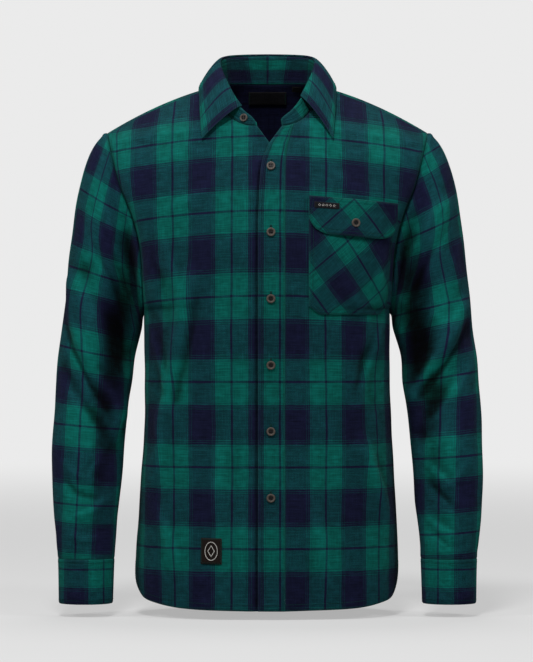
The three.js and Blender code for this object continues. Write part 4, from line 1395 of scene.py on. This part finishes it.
# Sleeve plackets
WRIST_ANGLE = 70
for name, side in SIDES:
    turn = lerp(-18, 18, stops(28, 2.2))
    angles = WRIST_ANGLE + side * turn
    heights = spaced(CUFF_TOP_Z + 1, CUFF_TOP_Z + 110, 2.8)
    grid = np.stack([tube_point(side, angles, z) for z in heights])
    grid = sleeve_relief(side, grid, angles)
    grid = grid + grid_normals(grid) * 2.1
    cloth = np.stack([turn[None, :] * 0.8 + 0 * grid[..., 0], grid[..., 2] + 580], -1)
    shell(f"sleeve_placket_{name}", grid, cloth, 1.4, hemmed)

# Buttons
BUTTON_SIZE = 11.8
BUTTON_THICK = 2.4
HOLE_OUT = 1.45 / 1.15
HOLE_SIZE = 0.82


def button_mesh(size):
    """Round net of a dished button with four holes: points, faces and cloth facts."""
    around = 72
    radius = size / 2
    rings = np.concatenate([np.linspace(0.12, 2.9, 22), np.linspace(3.05, radius - 0.35, 12)])
    rings = np.concatenate([rings, radius - np.array([0.2, 0.08, 0.0])])
    turn = np.linspace(0, 2 * math.pi, around, endpoint=False)
    x, y = rings[:, None] * np.cos(turn), rings[:, None] * np.sin(turn)
    r = np.broadcast_to(rings[:, None], x.shape)
    dish = 0.75 * (1 - smoothstep(r, 3.1, 4.3))
    edge = np.clip((r - (radius - 0.7)) / 0.7, 0, 1)
    top = BUTTON_THICK - dish - 0.8 * (1 - np.sqrt(np.maximum(1 - edge**2, 0)))
    for sx, sy in ((1, 1), (-1, 1), (-1, -1), (1, -1)):
        away = np.hypot(x - sx * HOLE_OUT, y - sy * HOLE_OUT)
        top -= 1.1 * (1 - smoothstep(away, HOLE_SIZE * 0.75, HOLE_SIZE * 1.15))
    upper = np.stack([x, y, top], -1)
    lower = np.stack([x, y, 0.35 * np.clip((r - radius + 0.8) / 0.8, 0, 1) ** 2], -1)[::-1]
    spots = np.vstack([upper, lower])
    index = net_index(len(spots), around)
    faces = quads(index)[:, [0, 3, 2, 1]].tolist()
    faces += [index[0, :-1].tolist(), index[-1, :-1][::-1].tolist()]
    flat = spots.reshape(-1, 3)
    facts = np.stack([flat[:, 0], flat[:, 1], np.hypot(flat[:, 0], flat[:, 1])], 1)
    return flat, faces, facts


def bar(start, stop, wide, high):
    """A bridge of thread from one place to another, arched between them."""
    start, stop = np.array(start, float), np.array(stop, float)
    steps = np.linspace(0, 1, 9)
    over = np.cross((0, 0, 1), unit(stop - start))
    turn = np.linspace(0, 2 * math.pi, 8, endpoint=False)[:, None]
    around = wide * (np.cos(turn) * over + np.sin(turn) * (0, 0, 1))
    rise = np.sin(math.pi * steps) ** 0.6 * high
    rings = [lerp(start, stop, share) + (0, 0, up) + around for share, up in zip(steps, rise)]
    index = net_index(len(rings), len(turn))
    faces = quads(index).tolist() + [index[0, :-1][::-1].tolist(), index[-1, :-1].tolist()]
    return np.vstack(rings), faces


def joined(parts):
    """One list of points and faces from several."""
    spots, faces, count = [], [], 0
    for part, part_faces in parts:
        spots.append(part)
        faces += [[i + count for i in face] for face in part_faces]
        count += len(part)
    return np.vstack(spots), faces


def add_button(node, spot, normal, size=BUTTON_SIZE, turn=0.0):
    """A button and the thread through its holes."""
    normal = unit(np.array(normal, float))
    up = unit(np.array((0, 0, 1.0)) - normal * normal[2])
    axes = np.stack([np.cross(up, normal), up, normal])
    c, s = math.cos(turn), math.sin(turn)
    spin = np.array([[c, s, 0], [-s, c, 0], [0, 0, 1]])
    flat, faces, facts = button_mesh(size)
    spots = (flat + (0, 0, 0.4)) @ spin @ axes + spot
    piece = make_piece(f"shirt_{node}", spots, faces, brown, node, "buttons")
    add_values(piece, "cloth", "FLOAT_VECTOR", "vector", facts)
    low = 1.35
    places = [x + dx for x in (-HOLE_OUT, HOLE_OUT) for dx in (-0.2, 0.2)]
    bars = [bar((x, -HOLE_OUT, low), (x, HOLE_OUT, low), 0.24, 0.75) for x in places]
    part, faces = joined(bars)
    part = (part + (0, 0, 0.4)) @ spin @ axes + spot
    make_piece(f"shirt_{node}_thread", part, faces, thread_dark, node, "buttons")


def placket_spot(t):
    """Middle of the placket's face, its lean followed, with its outward direction."""
    found = []
    for at in (t - 4, t, t + 4):
        line = opened(placket_line, at, np.linspace(0, 1, 41))
        line = drape(line)
        found.append([BUTTON_X] + [np.interp(BUTTON_X, line[:, 0], line[:, k]) for k in (1, 2)])
    below, spot, above = np.array(found)
    return spot, unit(np.cross((1, 0, 0), above - below))


for i in range(FRONT_BUTTONS):
    spot, normal = placket_spot(FIRST_BUTTON_Z - i * BUTTON_PITCH)
    turn = (0.1, -0.06, 0.14, -0.1, 0.05, -0.16)[i]
    add_button(f"button_front_{i + 1}", spot, normal, turn=turn)

flap_middle = POCKET_FROM + POCKET_WIDE / 2
spot, normal = on_chest(left_chest, np.array(-178.0), np.array(flap_middle))
add_button("button_pocket", spot + normal * (FLAP_OUT + 0.85), normal, turn=0.3)


def stand_point(side, share, up):
    return lerp(neck_at(side, share)[0], fold_at(side, share), up)


spot = stand_point(-1, 0.1, 0.5)
run = stand_point(-1, 0.14, 0.5) - stand_point(-1, 0.06, 0.5)
normal = unit(np.cross(run, stand_point(-1, 0.1, 0) - stand_point(-1, 0.1, 1)))
add_button("button_collar", spot - normal * 0.35, normal, BUTTON_SIZE - 1)
CUFF_MIDDLE = (CUFF_TOP_Z + CUFF_BOTTOM_Z) / 2
for name, side in SIDES:
    angles = np.array([WRIST_ANGLE - 2, WRIST_ANGLE, WRIST_ANGLE + 2]) * 1.0
    line = tube_point(side, angles, CUFF_MIDDLE)
    normal = unit(np.cross(line[2] - line[0], (0, 0, 1))) * side
    add_button(f"button_cuff_{name}", line[1], normal, turn=0.2)


# Stitching
extras = {}


def inset(node, edge, away, trim=(0.0, 0.0), closed=False):
    """Points and outward directions along one edge of a piece, at a distance from it."""
    net = piece_grid[node]
    if edge in ("left", "right"):
        net = net.swapaxes(0, 1)
    if edge in ("right", "top"):
        net = net[::-1]
    columns = zip(reach(net[..., :3]).T, net.swapaxes(0, 1))
    line = np.array([[np.interp(away, d, part) for part in column.T] for d, column in columns])
    if closed:
        line = np.vstack([line, line[:1]])
    run = reach(line[:, :3])
    return line[(run >= trim[0]) & (run <= run[-1] - trim[1])]


def sewn(spots, outs, wide=0.27, high=0.2):
    """Rounded stitches, from four points along each and their outward directions."""
    run = unit(spots[:, -1] - spots[:, 0])[:, None]
    beside = np.cross(outs, run)
    narrow = np.array([0.4, 1, 1, 0.4])[None, :, None]
    centre = spots + outs * high * (narrow - 0.4)
    turns = np.arange(5) * 0.4 * math.pi
    rings = np.stack(
        [centre + wide * narrow * (math.cos(a) * beside + math.sin(a) * outs) for a in turns], 2
    )
    index = np.arange(len(rings) * 20).reshape(-1, 4, 5)
    turned = np.roll(index, -1, axis=2)
    walls = np.stack([index[:, :-1], turned[:, :-1], turned[:, 1:], index[:, 1:]], -1)
    faces = walls.reshape(-1, 4).tolist() + index[:, 0, ::-1].tolist() + index[:, -1].tolist()
    return rings.reshape(-1, 3), faces


def row_of(line, pitch=3.1, length=2.3):
    """Places of the stitches along a line."""
    run = reach(line[:, :3])
    count = max(int(run[-1] / pitch), 1)
    middle = (np.arange(count) + 0.5) * run[-1] / count
    at = middle[:, None] + length * np.array([-0.5, -0.35, 0.35, 0.5])
    found = np.stack([np.interp(at, run, line[:, k]) for k in range(6)], -1)
    return found[..., :3], unit(found[..., 3:])


def add_sewn(name, parts, owner, slot="flannel", finish=thread_green):
    """One piece of all the stitches in parts. owner is the sheet that they are on."""
    piece = make_piece(f"shirt_{name}", *joined(parts), finish, owner, slot)
    extras.setdefault(owner, []).append(piece)


def stitch_rows(owner, lines, slot="flannel", **size):
    add_sewn(f"{owner}_stitches", [sewn(*row_of(line, **size)) for line in lines], owner, slot)


def insets(owner, edges, away, *trim):
    return [inset(owner, edge, away, *trim) for edge in edges.split()]


def by_armhole(line):
    return line[line[:, 2] > UNDERARM_Z + 4]


for owner, under in (("front_left", 0.0), ("front_right", 36.0)):
    rows = [by_armhole(inset(owner, "right", away)) for away in (1.6, 7.0)]
    stitch_rows(owner, rows + [inset(owner, "low", away, (under, 0)) for away in (1.6, 9.0)])
rows = [by_armhole(line) for line in insets("back", "left right", 7.0)]
stitch_rows("back", rows + [inset("back", "low", away) for away in (1.6, 9.0)])
stitch_rows("yoke", insets("yoke", "left right low", 1.8))
placket_edges = [("left", 5.5, (3, 3)), ("right", 1.6, (2, 3)), ("low", 1.6, (2, 2))]
placket_edges += [("low", 9, (6, 6))]
stitch_rows("placket", [inset("placket", *edge) for edge in placket_edges])
for owner, away, trim in (("collar_leaf", 6, 6), ("collar_stand", 2, 2)):
    sides = insets(owner, "left right", away, (trim, 4))
    stitch_rows(owner, sides + [inset(owner, "low", away, (trim, trim))])
for owner in ("pocket", "pocket_flap"):
    rows = [inset(owner, edge, away, (away, 1)) for edge in ("left", "right") for away in (1.8, 6.5)]
    rows += [inset(owner, "low", away, (away, away)) for away in (1.8, 6.5)]
    if owner == "pocket_flap":
        rows.append(inset(owner, "top", 1.8, (2, 2)))
    stitch_rows(owner, rows)
for name, side in SIDES:
    owner = f"cuff_{name}"
    stitch_rows(owner, insets(owner, "low top", 5.5, (0, 0), True))
    owner = f"sleeve_placket_{name}"
    stitch_rows(owner, insets(owner, "left right top", 1.8, (1, 2)))
patch_lines = insets("hem_patch", "left right low top", 1.6, (2, 2))
stitch_rows("hem_patch", patch_lines, "patch", pitch=2.2, length=1.5)
label_lines = insets("label_neck", "left right", 1.4, (1, 1))
stitch_rows("label_neck", label_lines, "labels", pitch=1.6, length=1.1)


def place_in(values, at):
    """Fractional place of a value in a rising list."""
    return np.interp(at, values, np.arange(len(values)))


def on_net(name, up, over):
    """Point and outward direction of a piece at fractional places in its net."""
    net = piece_grid[name]
    r = int(np.clip(up, 0, net.shape[0] - 1.001))
    c = int(np.clip(over, 0, net.shape[1] - 1.001))
    low = lerp(net[r, c], net[r, c + 1], over - c)
    high = lerp(net[r + 1, c], net[r + 1, c + 1], over - c)
    return lerp(low, high, up - r)


def placket_at(t, x):
    net = piece_grid["placket"]
    up = place_in(placket_rows, t)
    return on_net("placket", up, place_in(net[int(up), :, 0], x))


def flap_at(t, length):
    spot, normal = on_chest(left_chest, np.array(t), np.array(length))
    return np.concatenate([spot + normal * (FLAP_OUT + 0.8), normal])


def cuff_at(name, around, z):
    """Point of a cuff by length round it from the button and by height."""
    angle = WRIST_ANGLE + math.degrees(around / 38)
    return on_net(f"cuff_{name}", place_in(cuff_rows, z), place_in(SLEEVE_ANGLES, angle))


# Near-black thread for the buttonhole slits: painted shade in the openings.
slit_painted_shade = thread("slit_painted_shade", (0.002, 0.002, 0.003))
QUARTERS = (0, 0.15, 0.85, 1)


def buttonhole(name, at, low, high, middle, owner):
    """Close stitches round a slot. at gives the point at a place along and across."""
    name = f"buttonhole_{name}"
    rows = np.arange(low, high, 0.6)
    pairs = [(t, middle + s * 0.32, middle + s * 1.5) for t in rows for s in (1, -1)]
    ends = (low - 0.5, low - 1, high + 0.2, high + 0.7)
    pairs += [(t, middle - 1.5, middle + 1.5) for t in ends]
    lines = np.array([[at(t, lerp(near, far, k)) for k in QUARTERS] for t, near, far in pairs])
    around = sewn(lines[..., :3], unit(lines[..., 3:]), 0.3, 0.25)
    add_sewn(name, [around], owner)
    # The slit is a near-black row of stitches as painted shade in the buttonhole's opening.
    slot = np.array([[at(lerp(low, high, k), middle) for k in QUARTERS]])
    painted_slit = sewn(slot[..., :3], unit(slot[..., 3:]), 0.3, 0.12)
    add_sewn(f"{name}_slot", [painted_slit], owner, finish=slit_painted_shade)


for i in range(FRONT_BUTTONS):
    t = FIRST_BUTTON_Z - i * BUTTON_PITCH
    buttonhole(f"front_{i + 1}", placket_at, t - 5, t + 9, BUTTON_X, "placket")
buttonhole("flap", flap_at, -183, -169, flap_middle, "pocket_flap")
for name, side in SIDES:
    at = lambda t, x: cuff_at(name, t, x)
    buttonhole(f"cuff_{name}", at, -3, 11, CUFF_MIDDLE, f"cuff_{name}")


# Pale thread: an oval with a lozenge on the patch, and lozenges on the flap's label


def on_small(name, wide, high, u, v):
    """Point of a small label or patch, by millimetres from its middle."""
    over = place_in(stops(wide, 1.5), u / wide + 0.5)
    return on_net(name, place_in(stops(high, 1.5), v / high + 0.5), over)


def ring_on(label, centre, across, upward, corners):
    """A ring of corners on a label, given as its name, width and height."""
    turns = np.arange(corners + 1) * 2 * math.pi / corners
    line = [on_small(*label, centre + across * math.sin(a), upward * math.cos(a)) for a in turns]
    return along(np.array(line), np.linspace(0, 1, (12 if corners < 8 else 1) * corners + 1))


PATCH = ("hem_patch", 29, 35)
motif = [ring_on(PATCH, 0, 8.6, 12.4, 40), ring_on(PATCH, 0, 4.6, 7.4, 4)]
rows = [sewn(*row_of(line, 1.5, 1.4), 0.42, 0.25) for line in motif]
add_sewn("hem_patch_motif", rows, "hem_patch", "patch", thread_pale)
marks = [ring_on(("label_flap", 34, 8), centre, 1.7, 1.5, 4) for centre in (-10, -5, 0, 5, 10)]
rows = [sewn(*row_of(line, 0.8, 0.75), 0.2, 0.12) for line in marks]
add_sewn("label_flap_marks", rows, "label_flap", "labels", thread_pale)


# Floor, light and camera


def floor():
    far, low = 30, -0.723
    mesh = bpy.data.meshes.new("floor")
    corners = [(-far, -far, low), (far, -far, low), (far, far, low), (-far, far, low)]
    mesh.from_pydata(corners, [], [(0, 1, 2, 3)])
    n = Nodes("floor_pale")
    seen = n.signal("ShaderNodeLightPath", "Is Camera Ray")
    tone = n.mix(seen, (0.35, 0.35, 0.35, 1), (0.70, 0.70, 0.70, 1))
    for name, given in (("Roughness", 0.9), ("Specular IOR Level", 0.1), ("Base Color", tone)):
        n.feed(n.shader.inputs[name], given)
    place = n.signal("ShaderNodeTexCoord", "Object")
    away = n.signal("ShaderNodeVectorMath", "Value", {"operation": "LENGTH"}, Vector=place)
    share = n.ramp(away, 0.3, 5.5) * 0.5 + 0.5
    glow = n.put("ShaderNodeEmission", Color=(0.83, 0.83, 0.83, 1))
    both = n.put("ShaderNodeMixShader", Fac=share * seen)
    n.feed(both.inputs[1], n.shader.outputs[0])
    n.feed(both.inputs[2], glow.outputs[0])
    n.feed(n.tree.nodes["Material Output"].inputs[0], both.outputs[0])
    mesh.materials.append(n.material)
    link("floor", mesh)


def area_light(name, place, size, power):
    data = bpy.data.lights.new(name, "AREA")
    data.shape = "DISK"
    data.size = size
    data.energy = power
    lamp = link(name, data)
    lamp.location = place
    aim = Vector((0, 0, -0.33)) - Vector(place)
    lamp.rotation_euler = aim.to_track_quat("-Z", "Y").to_euler()


def studio():
    """Even pale surroundings, a little darker as a light than they look."""
    world = bpy.data.worlds.new("studio")
    world.use_nodes = True
    tree = world.node_tree
    seen = tree.nodes.new("ShaderNodeLightPath").outputs["Is Camera Ray"]
    strength = tree.nodes.new("ShaderNodeMapRange")
    tree.links.new(seen, strength.inputs["Value"])
    strength.inputs["To Min"].default_value = 0.05
    strength.inputs["To Max"].default_value = 0.83
    tree.nodes["Background"].inputs[0].default_value = (1, 1, 1, 1)
    tree.links.new(strength.outputs[0], tree.nodes["Background"].inputs[1])
    bpy.context.scene.world = world


floor()
studio()
area_light("key", (-0.3, -2.1, 2.4), 0.7, 64)
area_light("front", (0.2, -4.0, 0.6), 1.0, 5)
area_light("left_side", (-2.7, -1.6, 1.7), 0.7, 33)
area_light("right_side", (2.7, -1.6, 1.7), 0.7, 29)
area_light("top", (0, 0.9, 2.6), 1.2, 26)

bpy.context.scene.view_settings.view_transform = "Standard"

camera_data = bpy.data.cameras.new("camera")
camera_data.lens = 176
camera_data.sensor_width = 36
camera_data.clip_end = 100
camera = link("camera", camera_data)
camera.location = (-0.0014, -4.5, -0.331)
camera.rotation_euler = (math.pi / 2, 0, 0)
bpy.context.scene.camera = camera


# Each sheet: how it is held, and what it rests on
SHEETS = """
yoke stretched
front_left hung yoke
front_right hung yoke
back hung yoke
placket hung front_left
collar_stand stretched yoke
collar_leaf folded collar_stand
sleeve_left hung yoke
sleeve_right hung yoke
cuff_left hung sleeve_left
cuff_right hung sleeve_right
pocket laid front_left
pocket_flap hung front_left
sleeve_placket_left laid sleeve_left
sleeve_placket_right laid sleeve_right
label_neck laid yoke
hem_patch laid front_right
"""
extras["pocket_flap"] += [bpy.data.objects["shirt_label_flap"]] + extras.pop("label_flap")
extras["yoke"].append(bpy.data.objects["shirt_label_size"])
for line in SHEETS.strip().splitlines():
    node, held, *rests = line.split()
    tube = node in ("sleeve_left", "sleeve_right", "cuff_left", "cuff_right")
